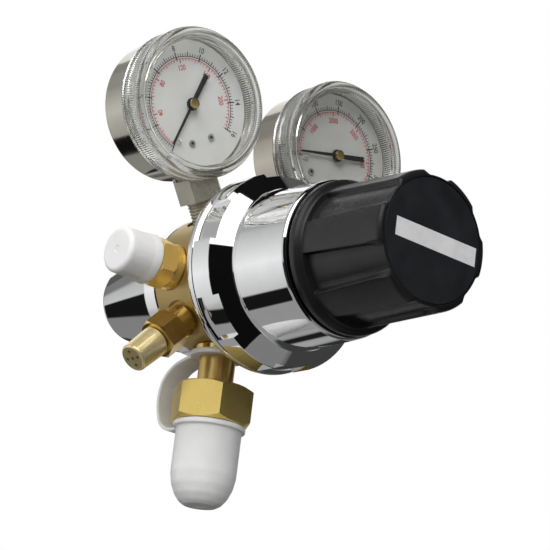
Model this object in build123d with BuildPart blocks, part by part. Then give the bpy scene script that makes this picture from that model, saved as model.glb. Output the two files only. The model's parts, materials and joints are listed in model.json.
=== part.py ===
"""Two-stage gas regulator: pressed gauges, capped inlet and outlet.

Millimetres. +Z up, -Y is the front (the hand knob points to -Y), +X right.
The origin is the middle of the inlet nut's thread; the main axis of the
regulator runs along Y at height H above it.
"""
import math
import os
from build123d import *

os.makedirs("parts", exist_ok=True)

# ------------------------------------------------------------ driving dimensions
H = 67.7                 # main axis above the inlet mount
BODY_R = 28.8            # brass body
BODY_BACK = -12.3        # rear face of the body (f = distance forward of the ports)
FLANGE_R = 34.6          # front flange of the body, inside the bonnet
SPOT_R = 27.6            # spotface distance of every radial port
BON_R = 40.8             # bonnet flange
BON_BACK = 23.6
BON_FRONT = 74.0
BON_CYL_R = 33.2
KNOB_FL_R = 31.3
KNOB_BACK = 75.6
KNOB_FRONT = 124.6
KNOB_R = 28.5
FLUTES = 6
COVER_R = 28.7
COVER_END = -68.0
GAUGE_ANGLE = 31.0       # stems from the vertical
GAUGE_R_L = 75.8         # dial centre from the main axis, delivery gauge
GAUGE_R_R = 77.3         # contents gauge
GAUGE_TWIST_L = 4.2
GAUGE_TWIST_R = 1.1
CASE_R = 29.0
WINDOW_R = 31.5
RIBS = 120
STUB_R = 6.4
OUT_Y = 2.0              # outlet axis behind the port plane
OUT_HEX = 19.0
OUT_R = 8.33             # G3/8 male
OUT_CAP0 = 40.4          # cap mouth
OUT_CAP1 = 56.6          # cap end
REL_HEX = 15.5
INLET_NUT_AF = 30.0
INLET_R = 11.455         # G5/8 male
NUT_TOP = 44.2            # nut, below the main axis
NUT_LOW = 60.2
CAP_TOP = 60.4
CAP_LOW = 94.4
FIT = 0.05               # sliding and turning bores, radial
LOOSE = 0.3              # between bodies that only pass each other
SCREW_TRAVEL = 10.5      # spring button, full knob travel

# ------------------------------------------------------------ frames
def frame(o, x, z):
    return Plane(origin=o, x_dir=x, z_dir=z)

MAIN = frame((0, 0, H), (1, 0, 0), (0, -1, 0))        # local x = X, y = Z, z = forward
INLET = frame((0, 0, H), (1, 0, 0), (0, 0, -1))       # z = down
OUTLET = frame((0, OUT_Y, H), (0, -1, 0), (-1, 0, 0))
RELIEF = frame((0, 0, H), (0, -1, 0), (-math.sqrt(0.5), 0, -math.sqrt(0.5)))


def port_dir(deg):
    a = math.radians(deg)
    return Vector(math.sin(a), 0, math.cos(a))


def gauge_frame(deg, dist, twist):
    """Dial centre; y along the stem outward, z towards the reader."""
    e = port_dir(deg)
    n = Vector(0, -1, 0)
    t = n.cross(e)
    k = math.radians(twist)
    n2 = n * math.cos(k) + t * math.sin(k)
    x = e.cross(n2)
    return frame((e.X * dist, 0, H + e.Z * dist), (x.X, x.Y, x.Z), (n2.X, n2.Y, n2.Z))


def along(F, d, x=0.0, y=0.0):
    o = F.origin + F.x_dir * x + F.y_dir * y + F.z_dir * d
    return Plane(origin=o, x_dir=F.x_dir, z_dir=F.z_dir)


def stem_frame(F):
    """Gauge frame turned so that z runs inward along the stem (towards the body)."""
    z = F.y_dir * -1
    return Plane(origin=F.origin, x_dir=F.x_dir, z_dir=z)


# ------------------------------------------------------------ shapes
def lathe(F, pts, mode=Mode.ADD, rounds=(), arc=360.0):
    """Turned shape: (radius, height) corners; rounds = ((r, h), radius) pairs."""
    pl = Plane(origin=F.origin, x_dir=F.x_dir, z_dir=F.y_dir * -1)
    with BuildSketch(pl, mode=Mode.PRIVATE) as sk:
        with BuildLine(mode=Mode.PRIVATE) as ln:
            Polyline(*pts, close=True)
        make_face(ln.edges())
        for (r, h), rad in rounds:
            v = sorted(sk.vertices(), key=lambda q: (q.X - r) ** 2 + (q.Y - h) ** 2)[0]
            fillet(v, rad)
    revolve(sk.sketch, axis=Axis(F.origin, F.z_dir), revolution_arc=arc, mode=mode)


def cyl(F, h0, h1, r, x=0.0, y=0.0, mode=Mode.ADD):
    with BuildSketch(along(F, h0, x, y), mode=Mode.PRIVATE) as sk:
        Circle(r)
    extrude(sk.sketch, amount=h1 - h0, mode=mode)


def prism(F, h0, h1, pts, mode=Mode.ADD):
    with BuildSketch(along(F, h0), mode=Mode.PRIVATE) as sk:
        with BuildLine(mode=Mode.PRIVATE) as ln:
            Polyline(*pts, close=True)
        make_face(ln.edges())
    extrude(sk.sketch, amount=h1 - h0, mode=mode)


def hexagon(F, h0, h1, af, rot=0.0, mode=Mode.ADD):
    with BuildSketch(along(F, h0), mode=Mode.PRIVATE) as sk:
        RegularPolygon(af / 2, 6, major_radius=False, rotation=rot)
    extrude(sk.sketch, amount=h1 - h0, mode=mode)


def box(F, x0, x1, y0, y1, z0, z1, mode=Mode.ADD):
    prism(F, z0, z1, [(x0, y0), (x1, y0), (x1, y1), (x0, y1)], mode)


def coil(F, h0, h1, rad, wire, turns):
    """Coil spring between two flats."""
    gap = 0.06
    a, b = h0 + wire + gap, h1 - wire - gap
    pl = along(F, a)
    path = Helix(pitch=(b - a) / turns, height=b - a, radius=rad,
                 center=(0, 0, 0), direction=(0, 0, 1))
    path = pl.location * path
    start = path @ 0
    tan = path % 0
    with BuildSketch(Plane(origin=start, z_dir=tan), mode=Mode.PRIVATE) as sk:
        Circle(wire)
    sweep(sk.sketch, path=path)


def ring_pts(n, r0, r1):
    """Alternating outline for a ribbed edge."""
    out = []
    for i in range(n):
        a = 2 * math.pi * i / n
        w = 2 * math.pi / n
        for k, r in ((0.0, r1), (0.42, r1), (0.5, r0), (0.92, r0)):
            out.append((r * math.cos(a + k * w), r * math.sin(a + k * w)))
    return out


# =============================================================== body
with BuildPart() as body:
    lathe(MAIN, [(0, -16), (24.9, -16), (24.9, BODY_BACK), (28.2, BODY_BACK),
                 (BODY_R, BODY_BACK + 0.6), (BODY_R, 24.8), (FLANGE_R, 24.8),
                 (FLANGE_R, 36), (0, 36)])
    # low pressure chamber, second stage bore, guide
    cyl(MAIN, 29, 36, 24, mode=Mode.SUBTRACT)
    cyl(MAIN, 15, 29, 5.0, mode=Mode.SUBTRACT)
    cyl(MAIN, 12.5, 15, 1.5 + FIT, mode=Mode.SUBTRACT)
    # first stage: diaphragm chamber, valve bore, guide
    cyl(MAIN, -16, -10, 20, mode=Mode.SUBTRACT)
    cyl(MAIN, -10, 9, 7.0, mode=Mode.SUBTRACT)
    cyl(MAIN, 9, 11.3, 1.5 + FIT, mode=Mode.SUBTRACT)
    # passage from the first stage chamber to the second stage bore
    d = Vector(5.0 - 19.0, 18.0 + 11.0, 0)
    L = d.length
    PAS = frame((19.0, 11.0, H), (0, 0, 1), (-14.0 / L, -29.0 / L, 0))
    cyl(PAS, -1.5, L, 1.3, mode=Mode.SUBTRACT)
    # ports
    for deg in (-GAUGE_ANGLE, GAUGE_ANGLE):
        e = port_dir(deg)
        PF = frame((0, 0, H), (0, 1, 0), (e.X, e.Y, e.Z))
        cyl(PF, SPOT_R, 40, 8.8, mode=Mode.SUBTRACT)
        cyl(PF, 18, 40, 6.6, mode=Mode.SUBTRACT)
    e = port_dir(GAUGE_ANGLE)
    cyl(frame((0, 0, H), (0, 1, 0), (e.X, e.Y, e.Z)), 6, 19, 1.5, mode=Mode.SUBTRACT)
    e = port_dir(-GAUGE_ANGLE)
    cyl(MAIN, 0, 30, 1.5, x=e.X * 19.5, y=e.Z * 19.5, mode=Mode.SUBTRACT)
    cyl(OUTLET, SPOT_R, 45, 10.3, mode=Mode.SUBTRACT)
    cyl(OUTLET, 16.5, 45, 8.4, mode=Mode.SUBTRACT)
    cyl(MAIN, -2, 30, 2.4, x=-19.0, y=0, mode=Mode.SUBTRACT)
    cyl(RELIEF, SPOT_R, 45, 8.4, mode=Mode.SUBTRACT)
    cyl(RELIEF, 18.0, 45, 5.6, mode=Mode.SUBTRACT)
    q = math.sqrt(0.5) * 20.0
    cyl(MAIN, 0, 30, 1.8, x=-q, y=-q, mode=Mode.SUBTRACT)
    cyl(INLET, SPOT_R, 45, 10.6, mode=Mode.SUBTRACT)
    cyl(INLET, 16.5, 45, 8.1, mode=Mode.SUBTRACT)
    cyl(INLET, 6, 17, 3.0, mode=Mode.SUBTRACT)
body.part.label = "body"

# =============================================================== rear cover, first stage
with BuildPart() as rear_cover:
    lathe(MAIN, [(25.0, BODY_BACK), (28.0, BODY_BACK), (COVER_R, BODY_BACK - 0.7),
                 (COVER_R, -19.4), (28.2, -19.9), (26.8, -19.9), (26.8, -20.7),
                 (27.3, -21.2), (16.5, -64.0), (12.2, COVER_END), (6.0, COVER_END),
                 (6.0, -58), (13, -58), (13, -24), (20, -24), (20, -16.8), (25.0, -16.8)],
          rounds=(((16.5, -64.0), 4.5), ((12.2, COVER_END), 2.4)))
rear_cover.part.label = "rear_cover"

with BuildPart() as preset_screw:
    lathe(MAIN, [(0, -67.2), (5.3, -67.2), (5.9, -66.6), (5.9, -57), (11.5, -57),
                 (11.5, -54), (0, -54)])
    hexagon(MAIN, -67.2, -62.5, 5.0, mode=Mode.SUBTRACT)
preset_screw.part.label = "preset_screw"

with BuildPart() as first_stage_spring:
    coil(MAIN, -54, -20, 9.6, 1.25, 6)
first_stage_spring.part.label = "first_stage_spring"

with BuildPart() as first_stage_spring_seat:
    lathe(MAIN, [(0, -26), (6.6, -26), (7.6, -25), (7.6, -20), (12, -20), (12, -16.9), (0, -16.9)])
first_stage_spring_seat.part.label = "first_stage_spring_seat"

with BuildPart() as first_stage_diaphragm:
    cyl(MAIN, -16.8, -16.0, 24.6)
first_stage_diaphragm.part.label = "first_stage_diaphragm"

with BuildPart() as first_stage_nozzle:
    lathe(MAIN, [(1.6, -11.6), (9, -11.6), (9, -10), (6.9, -10), (6.9, -3), (3.4, -3),
                 (2.8, -2.4), (2.0, -2.4), (1.6, -3.0)])
    for a in (45, 225):
        x, y = 7.4 * math.cos(math.radians(a)), 7.4 * math.sin(math.radians(a))
        cyl(MAIN, -11.6, -10.7, 0.8, x=x, y=y, mode=Mode.SUBTRACT)
first_stage_nozzle.part.label = "first_stage_nozzle"

with BuildPart() as first_stage_poppet:
    lathe(MAIN, [(0, -15.9), (1.2, -15.9), (1.2, -2.2), (4.0, -2.2), (4.0, 1.6), (1.5, 1.6),
                 (1.5, 10.4), (0, 10.4)])
first_stage_poppet.part.label = "first_stage_poppet"

with BuildPart() as first_stage_valve_spring:
    coil(MAIN, 1.6, 9.0, 3.0, 0.4, 4)
first_stage_valve_spring.part.label = "first_stage_valve_spring"

# =============================================================== second stage
with BuildPart() as second_stage_nozzle:
    hexagon(MAIN, 29, 31, 12.0)
    cyl(MAIN, 22.4, 29, 4.9)
    cyl(MAIN, 21.9, 22.4, 2.8)
    cyl(MAIN, 21, 32, 1.6, mode=Mode.SUBTRACT)
second_stage_nozzle.part.label = "second_stage_nozzle"

with BuildPart() as second_stage_poppet:
    lathe(MAIN, [(0, 33.1), (1.2, 33.1), (1.2, 21.7), (3.6, 21.7), (3.6, 18.5), (1.5, 18.5),
                 (1.5, 13.6), (0, 13.6)])
second_stage_poppet.part.label = "second_stage_poppet"

with BuildPart() as second_stage_valve_spring:
    coil(MAIN, 15.0, 18.5, 2.8, 0.35, 2.5)
second_stage_valve_spring.part.label = "second_stage_valve_spring"

with BuildPart() as diaphragm_plate:
    lathe(MAIN, [(0, 33.2), (4, 33.2), (4, 34.2), (19, 34.2), (20, 35.0), (20, 35.9), (0, 35.9)])
diaphragm_plate.part.label = "diaphragm_plate"

with BuildPart() as diaphragm:
    cyl(MAIN, 36.0, 36.8, 34.2)
diaphragm.part.label = "diaphragm"

with BuildPart() as slip_ring:
    lathe(MAIN, [(25.5, 36.8), (34.2, 36.8), (34.2, 38.0), (25.5, 38.0)])
slip_ring.part.label = "slip_ring"

with BuildPart() as spring_plate:
    lathe(MAIN, [(0, 36.9), (21, 36.9), (21, 39.5), (9.6, 39.5), (9.6, 42.0), (8.6, 43.0), (0, 43.0)])
spring_plate.part.label = "spring_plate"

with BuildPart() as main_spring:
    coil(MAIN, 39.5, 64.0, 12.9, 1.3, 4.5)
main_spring.part.label = "main_spring"

with BuildPart() as spring_button:
    lathe(MAIN, [(6.2, 60.2), (8.4, 60.2), (9.2, 61.0), (9.2, 64.0), (23.0, 64.0), (23.0, 67.0),
                 (6.2, 67.0)])
    box(MAIN, -27.7, -21.0, -2.2, 2.2, 64.0, 67.0)
    box(MAIN, 21.0, 27.7, -2.2, 2.2, 64.0, 67.0)
spring_button.part.label = "spring_button"

with BuildPart() as adjusting_screw:
    lathe(MAIN, [(0, 50), (5.2, 50), (5.9, 50.8), (5.9, 67.35), (11, 67.35), (11, 69.7),
                 (7.95, 69.7), (7.95, 74.2), (0, 74.2)])
    hexagon(MAIN, 74.2, 97, 12.0)
    cyl(MAIN, 84, 97, 2.5, mode=Mode.SUBTRACT)
adjusting_screw.part.label = "adjusting_screw"

with BuildPart() as knob_screw:
    lathe(MAIN, [(0, 85.5), (2.0, 85.5), (2.4, 86), (2.4, 110.05), (4.3, 110.05), (4.3, 114.4),
                 (3.9, 115), (0, 115)])
    hexagon(MAIN, 112, 115, 4.0, mode=Mode.SUBTRACT)
knob_screw.part.label = "knob_screw"

# =============================================================== bonnet
NOTCH = [42.3 + 60 * k for k in range(6)]
NOTCH_HALF = 13.6
with BuildPart() as notch_cut:
    for a in NOTCH:
        t = [math.radians(a - NOTCH_HALF), math.radians(a), math.radians(a + NOTCH_HALF)]
        prism(MAIN, 27.4, 45.0, [(20 * math.cos(t[0]), 20 * math.sin(t[0])),
                                 (46 * math.cos(t[0]), 46 * math.sin(t[0])),
                                 (46 * math.cos(t[1]), 46 * math.sin(t[1])),
                                 (46 * math.cos(t[2]), 46 * math.sin(t[2])),
                                 (20 * math.cos(t[2]), 20 * math.sin(t[2]))])
    cyl(MAIN, 27.0, 46.0, 39.0, mode=Mode.SUBTRACT)

with BuildPart() as bonnet:
    lathe(MAIN, [(34.75, BON_BACK), (39.9, BON_BACK), (40.7, 24.4), (40.7, 26.8), (40.3, 27.2),
                 (40.3, 27.5), (BON_R, 27.9), (BON_R, 38.0),
                 (BON_CYL_R, 44.2), (32.2, BON_FRONT), (8.0, BON_FRONT), (8.0, 70.0), (26.0, 70.0),
                 (26.0, 38.0), (34.75, 38.0)],
          rounds=(((BON_CYL_R, 44.2), 1.2), ((32.2, BON_FRONT), 1.6), ((BON_R, 38.0), 0.35)))
    add(notch_cut.part, mode=Mode.SUBTRACT)
    box(MAIN, -28.2, -24.0, -2.5, 2.5, 38.0, 70.0, Mode.SUBTRACT)
    box(MAIN, 24.0, 28.2, -2.5, 2.5, 38.0, 70.0, Mode.SUBTRACT)
bonnet.part.label = "bonnet"

# =============================================================== knob
FLUTE_PHASE = 30.0
with BuildPart() as flute_cut:
    for k in range(FLUTES):
        a = math.radians(FLUTE_PHASE + 60 * k)
        RF = frame((0, 0, H), (0, -1, 0), (math.cos(a), 0, math.sin(a)))
        prism(RF, 20.0, 36.0, [(80.6, -7.5), (81.2, -7.9), (127.0, -6.0), (127.0, 6.0),
                               (81.2, 7.9), (80.6, 7.5)])
    lathe(MAIN, [(0, 79), (26.4, 79), (25.7, 128), (0, 128)], Mode.SUBTRACT)
    lathe(MAIN, [(34, 79), (50, 79), (50, 128), (34, 128)], Mode.SUBTRACT)

with BuildPart() as adjusting_knob:
    lathe(MAIN, [(0, 74.2), (12, 74.2), (12, KNOB_BACK + 0.6), (22.6, KNOB_BACK + 0.6),
                 (22.6, KNOB_BACK), (30.6, KNOB_BACK), (KNOB_FL_R, KNOB_BACK + 0.8),
                 (KNOB_FL_R, 78.6), (30.5, 79.6), (29.0, 80.2), (KNOB_R, 81.2),
                 (27.85, KNOB_FRONT), (25.0, KNOB_FRONT), (25.0, 123.9), (0, 123.9)],
          rounds=(((27.85, KNOB_FRONT), 2.2),))
    add(flute_cut.part, mode=Mode.SUBTRACT)
    # hollow back with ribs round a hub
    lathe(MAIN, [(12, 75), (22.6, 75), (22.6, 118), (12, 118)], Mode.SUBTRACT)
    for k in range(3):
        a = 60.0 * k
        RB = frame((0, 0, H), (math.cos(math.radians(a)), 0, math.sin(math.radians(a))), (0, -1, 0))
        for s in (-1, 1):
            box(RB, min(s * 11.5, s * 23.2), max(s * 11.5, s * 23.2), -1.1, 1.1, 78.5, 118.5)
    hexagon(MAIN, 70, 97.1, 12.1, mode=Mode.SUBTRACT)
    cyl(MAIN, 97, 111, 2.7, mode=Mode.SUBTRACT)
    cyl(MAIN, 110, 125, 4.8, mode=Mode.SUBTRACT)
adjusting_knob.part.label = "adjusting_knob"

with BuildPart() as knob_label:
    lathe(MAIN, [(0, 123.9), (24.8, 123.9), (24.8, 124.2), (24.6, 124.4), (0, 124.4)])
knob_label.part.label = "knob_label"

# =============================================================== inlet
with BuildPart() as stem_washer:
    lathe(INLET, [(7.6, 27.6), (9.6, 27.6), (9.9, 27.9), (9.9, 29.7), (9.6, 30.0), (7.6, 30.0)])
stem_washer.part.label = "stem_washer"

with BuildPart() as inlet_stem:
    lathe(INLET, [(2.2, 17.0), (7.2, 17.0), (8.0, 18.0), (8.0, 27.3), (7.5, 27.5), (7.5, 74.9),
                  (9.6, 74.9), (9.6, 76.1), (8.6, 78.6), (8.6, 79.6), (7.2, 80.9), (5.6, 81.9),
                  (3.2, 81.9), (3.2, 73.7), (2.2, 73.7)])
    lathe(INLET, [(7.7, 76.9), (10.4, 76.9), (10.4, 78.6), (7.7, 78.6)], Mode.SUBTRACT)
inlet_stem.part.label = "inlet_stem"

with BuildPart() as inlet_seal:
    pl = Plane(origin=INLET.origin, x_dir=INLET.x_dir, z_dir=INLET.y_dir * -1)
    with BuildSketch(pl) as sk:
        with Locations((8.55, 77.75)):
            Circle(0.82)
    revolve(axis=Axis(INLET.origin, INLET.z_dir))
inlet_seal.part.label = "inlet_seal"

with BuildPart() as inlet_filter:
    cyl(INLET, 73.9, 81.3, 3.1)
inlet_filter.part.label = "inlet_filter"

NUT_ROT = -3.3
with BuildPart() as nut_cone:
    lathe(INLET, [(0, NUT_TOP), (14.4, NUT_TOP), (17.6, NUT_TOP + 1.8), (17.6, NUT_LOW - 1.8),
                  (14.4, NUT_LOW), (0, NUT_LOW)])
with BuildPart() as inlet_nut:
    hexagon(INLET, NUT_TOP, NUT_LOW, INLET_NUT_AF, rot=NUT_ROT)
    add(nut_cone.part, mode=Mode.INTERSECT)
    lathe(INLET, [(0, 60.1), (10.4, 60.1), (10.4, 61.4), (INLET_R, 62.2), (INLET_R, 73.2),
                  (10.5, 74.2), (0, 74.2)])
    cyl(INLET, 43, 75, 7.5 + FIT, mode=Mode.SUBTRACT)
inlet_nut.part.label = "inlet_nut"

with BuildPart() as inlet_cap:
    lathe(INLET, [(12.3, CAP_TOP), (14.6, CAP_TOP), (14.9, 60.75), (14.9, 63.0), (14.6, 63.35),
                  (13.7, 63.5), (13.5, 63.8), (13.5, 83.3), (12.9, 87.2), (11.4, 90.7), (9.2, 93.2),
                  (7.0, CAP_LOW), (0, CAP_LOW), (0, 92.9), (6.5, 92.9), (8.6, 91.6), (10.2, 89.6),
                  (11.6, 86.4), (12.2, 83.0), (12.2, 61.8)],
          rounds=(((13.5, 83.3), 8.0), ((12.9, 87.2), 6.0), ((11.4, 90.7), 5.0), ((9.2, 93.2), 3.0),
                  ((7.0, CAP_LOW), 1.2)))
inlet_cap.part.label = "inlet_cap"

# tether: ring on the stem, a flat strap looping out at the back to the cap wall
STRAP_DIR = 94.0         # direction of the loop seen from above, from +X
STRAP_W = 11.0
STRAP_T = 1.4
STRAP = [(9.4, 31.15), (12.6, 31.5), (16.0, 32.4), (20.4, 34.1), (24.0, 36.8), (26.8, 40.6),
         (28.0, 45.4), (28.1, 49.4), (27.3, 53.6), (25.9, 57.2), (23.8, 60.0), (21.0, 61.8),
         (18.2, 62.6), (15.7, 62.9)]


def smooth(pts, n):
    """Points of a Catmull-Rom curve through pts."""
    out = []
    p = [pts[0]] + list(pts) + [pts[-1]]
    for i in range(1, len(p) - 2):
        for j in range(n):
            t = j / n
            out.append(tuple(0.5 * (2 * p[i][k] + (p[i + 1][k] - p[i - 1][k]) * t
                                    + (2 * p[i - 1][k] - 5 * p[i][k] + 4 * p[i + 1][k] - p[i + 2][k]) * t * t
                                    + (3 * p[i][k] - p[i - 1][k] - 3 * p[i + 1][k] + p[i + 2][k]) * t ** 3)
                             for k in range(2)))
    out.append(tuple(pts[-1]))
    return out


def band(pts, half):
    """Outline of a strip of constant thickness along pts."""
    left, right = [], []
    for i, (x, y) in enumerate(pts):
        a = pts[max(i - 1, 0)]
        b = pts[min(i + 1, len(pts) - 1)]
        dx, dy = b[0] - a[0], b[1] - a[1]
        m = math.hypot(dx, dy)
        left.append((x - dy / m * half, y + dx / m * half))
        right.append((x + dy / m * half, y - dx / m * half))
    return left + right[::-1]


with BuildPart() as cap_tether:
    lathe(INLET, [(7.56, 30.1), (11.3, 30.1), (11.6, 30.4), (11.6, 31.9), (11.3, 32.2), (7.56, 32.2)])
    sd = math.radians(STRAP_DIR)
    # local x = outward, local y = down, extruded across the strap
    SP = Plane(origin=(math.sin(sd) * STRAP_W / 2, -math.cos(sd) * STRAP_W / 2, H),
               x_dir=(math.cos(sd), math.sin(sd), 0), z_dir=(-math.sin(sd), math.cos(sd), 0))
    if SP.y_dir.Z > 0:
        SP = Plane(origin=(-math.sin(sd) * STRAP_W / 2, math.cos(sd) * STRAP_W / 2, H),
                   x_dir=(math.cos(sd), math.sin(sd), 0), z_dir=(math.sin(sd), -math.cos(sd), 0))
    prism(SP, 0, STRAP_W, band(smooth(STRAP, 2), STRAP_T / 2))
    cyl(INLET, 29, 33, 7.56, mode=Mode.SUBTRACT)
cap_tether.part.label = "cap_tether"

# =============================================================== outlet
with BuildPart() as outlet_washer:
    lathe(OUTLET, [(8.5, SPOT_R), (9.7, SPOT_R), (9.7, SPOT_R + 1.0), (8.5, SPOT_R + 1.0)])
outlet_washer.part.label = "outlet_washer"

OUT_ROT = 33.0
with BuildPart() as out_cone:
    lathe(OUTLET, [(0, 31.7), (8.9, 31.7), (10.3, 32.7), (11.2, 34.4), (11.2, 39.3), (9.5, 40.2),
                   (0, 40.2)])
with BuildPart() as outlet_adapter:
    hexagon(OUTLET, 31.7, 40.2, OUT_HEX, rot=OUT_ROT)
    add(out_cone.part, mode=Mode.INTERSECT)
    lathe(OUTLET, [(0, 17.0), (7.6, 17.0), (OUT_R, 17.8), (OUT_R, 28.6), (8.9, 28.6), (8.9, 31.8),
                   (0, 31.8)])
    lathe(OUTLET, [(0, 40.1), (7.6, 40.1), (7.6, 40.6), (OUT_R, 41.3), (OUT_R, 51.6),
                   (7.5, 52.6), (0, 52.6)])
    lathe(OUTLET, [(0, 16), (4.2, 16), (4.2, 48.4), (6.6, 52.7), (0, 52.7)], Mode.SUBTRACT)
outlet_adapter.part.label = "outlet_adapter"

with BuildPart() as outlet_cap:
    lathe(OUTLET, [(9.05, OUT_CAP0), (10.2, OUT_CAP0), (10.5, OUT_CAP0 + 0.3),
                   (10.4, OUT_CAP0 + 2.2), (10.0, OUT_CAP0 + 4.2), (9.8, OUT_CAP1 - 6.0),
                   (9.6, OUT_CAP1), (0, OUT_CAP1), (0, OUT_CAP1 - 1.3), (8.3, OUT_CAP1 - 1.3),
                   (8.95, OUT_CAP1 - 3.2), (9.0, OUT_CAP0 + 1.0)],
          rounds=(((9.6, OUT_CAP1), 1.6),))
outlet_cap.part.label = "outlet_cap"

# =============================================================== relief valve
with BuildPart() as rel_cone:
    lathe(RELIEF, [(0, 35.2), (7.2, 35.2), (8.3, 36.0), (9.1, 37.5), (9.1, 45.0), (7.8, 45.8), (0, 45.8)])
with BuildPart() as relief_base:
    hexagon(RELIEF, 35.2, 45.8, REL_HEX, rot=33.0)
    add(rel_cone.part, mode=Mode.INTERSECT)
    lathe(RELIEF, [(0, 18.6), (4.9, 18.6), (5.5, 19.3), (5.5, 27.6), (7.2, 27.6), (7.2, 35.3),
                   (0, 35.3)])
    cyl(RELIEF, 45.7, 49.0, 4.3)
    cyl(RELIEF, 18, 30, 2.0, mode=Mode.SUBTRACT)
    cyl(RELIEF, 30, 50, 3.4, mode=Mode.SUBTRACT)
relief_base.part.label = "relief_base"

with BuildPart() as relief_cap:
    lathe(RELIEF, [(4.4, 46.1), (5.9, 46.1), (6.4, 46.6), (6.4, 49.0), (6.0, 60.8), (0, 60.8),
                   (0, 58.9), (3.6, 58.9), (3.6, 49.1), (4.4, 49.1)], rounds=(((6.0, 60.8), 1.0),))
    cyl(RELIEF, 58, 63, 0.75, mode=Mode.SUBTRACT)
    for k in range(4):
        a = math.radians(90 * k)
        cyl(RELIEF, 58, 63, 0.75, x=3.1 * math.cos(a), y=3.1 * math.sin(a), mode=Mode.SUBTRACT)
relief_cap.part.label = "relief_cap"

with BuildPart() as relief_poppet:
    lathe(RELIEF, [(0, 30.1), (3.0, 30.1), (3.0, 33.5), (1.4, 33.5), (1.4, 44.0), (0, 44.0)])
    hexagon(RELIEF, 30.1, 33.5, 5.6, mode=Mode.INTERSECT)
relief_poppet.part.label = "relief_poppet"

with BuildPart() as relief_spring:
    coil(RELIEF, 33.5, 58.9, 2.5, 0.4, 8)
relief_spring.part.label = "relief_spring"

# =============================================================== gauges
GF = {
    "delivery_gauge": gauge_frame(-GAUGE_ANGLE, GAUGE_R_L, GAUGE_TWIST_L),
    "contents_gauge": gauge_frame(GAUGE_ANGLE, GAUGE_R_R, GAUGE_TWIST_R),
}
GR = {"delivery_gauge": GAUGE_R_L, "contents_gauge": GAUGE_R_R}

PIN_T, SEC_MOD = 12, 0.4
PIN_R = PIN_T * SEC_MOD / 2          # 2.4
SEC_R = PIN_R * 7                    # 16.8
SEC_T = PIN_T * 7


def gear_pts(teeth, r, mod, thin, a0, a1, root, arc_steps=1):
    """Outline points of plain tapered teeth between two angles (degrees)."""
    pts = []
    step = 360.0 / teeth
    n = int(round((a1 - a0) / step))   # first tooth centred half a step after a0
    for i in range(n):
        c = a0 + (i + 0.5) * step
        for da, rr in ((-0.5 * step, root), (-(0.26 - thin) * step - 0.02 * step, root),
                       (-(0.13 - thin * 0.5) * step, r + mod * 0.85),
                       ((0.13 - thin * 0.5) * step, r + mod * 0.85),
                       ((0.26 - thin) * step + 0.02 * step, root)):
            t = math.radians(c + da)
            pts.append((rr * math.cos(t), rr * math.sin(t)))
    return pts


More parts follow.
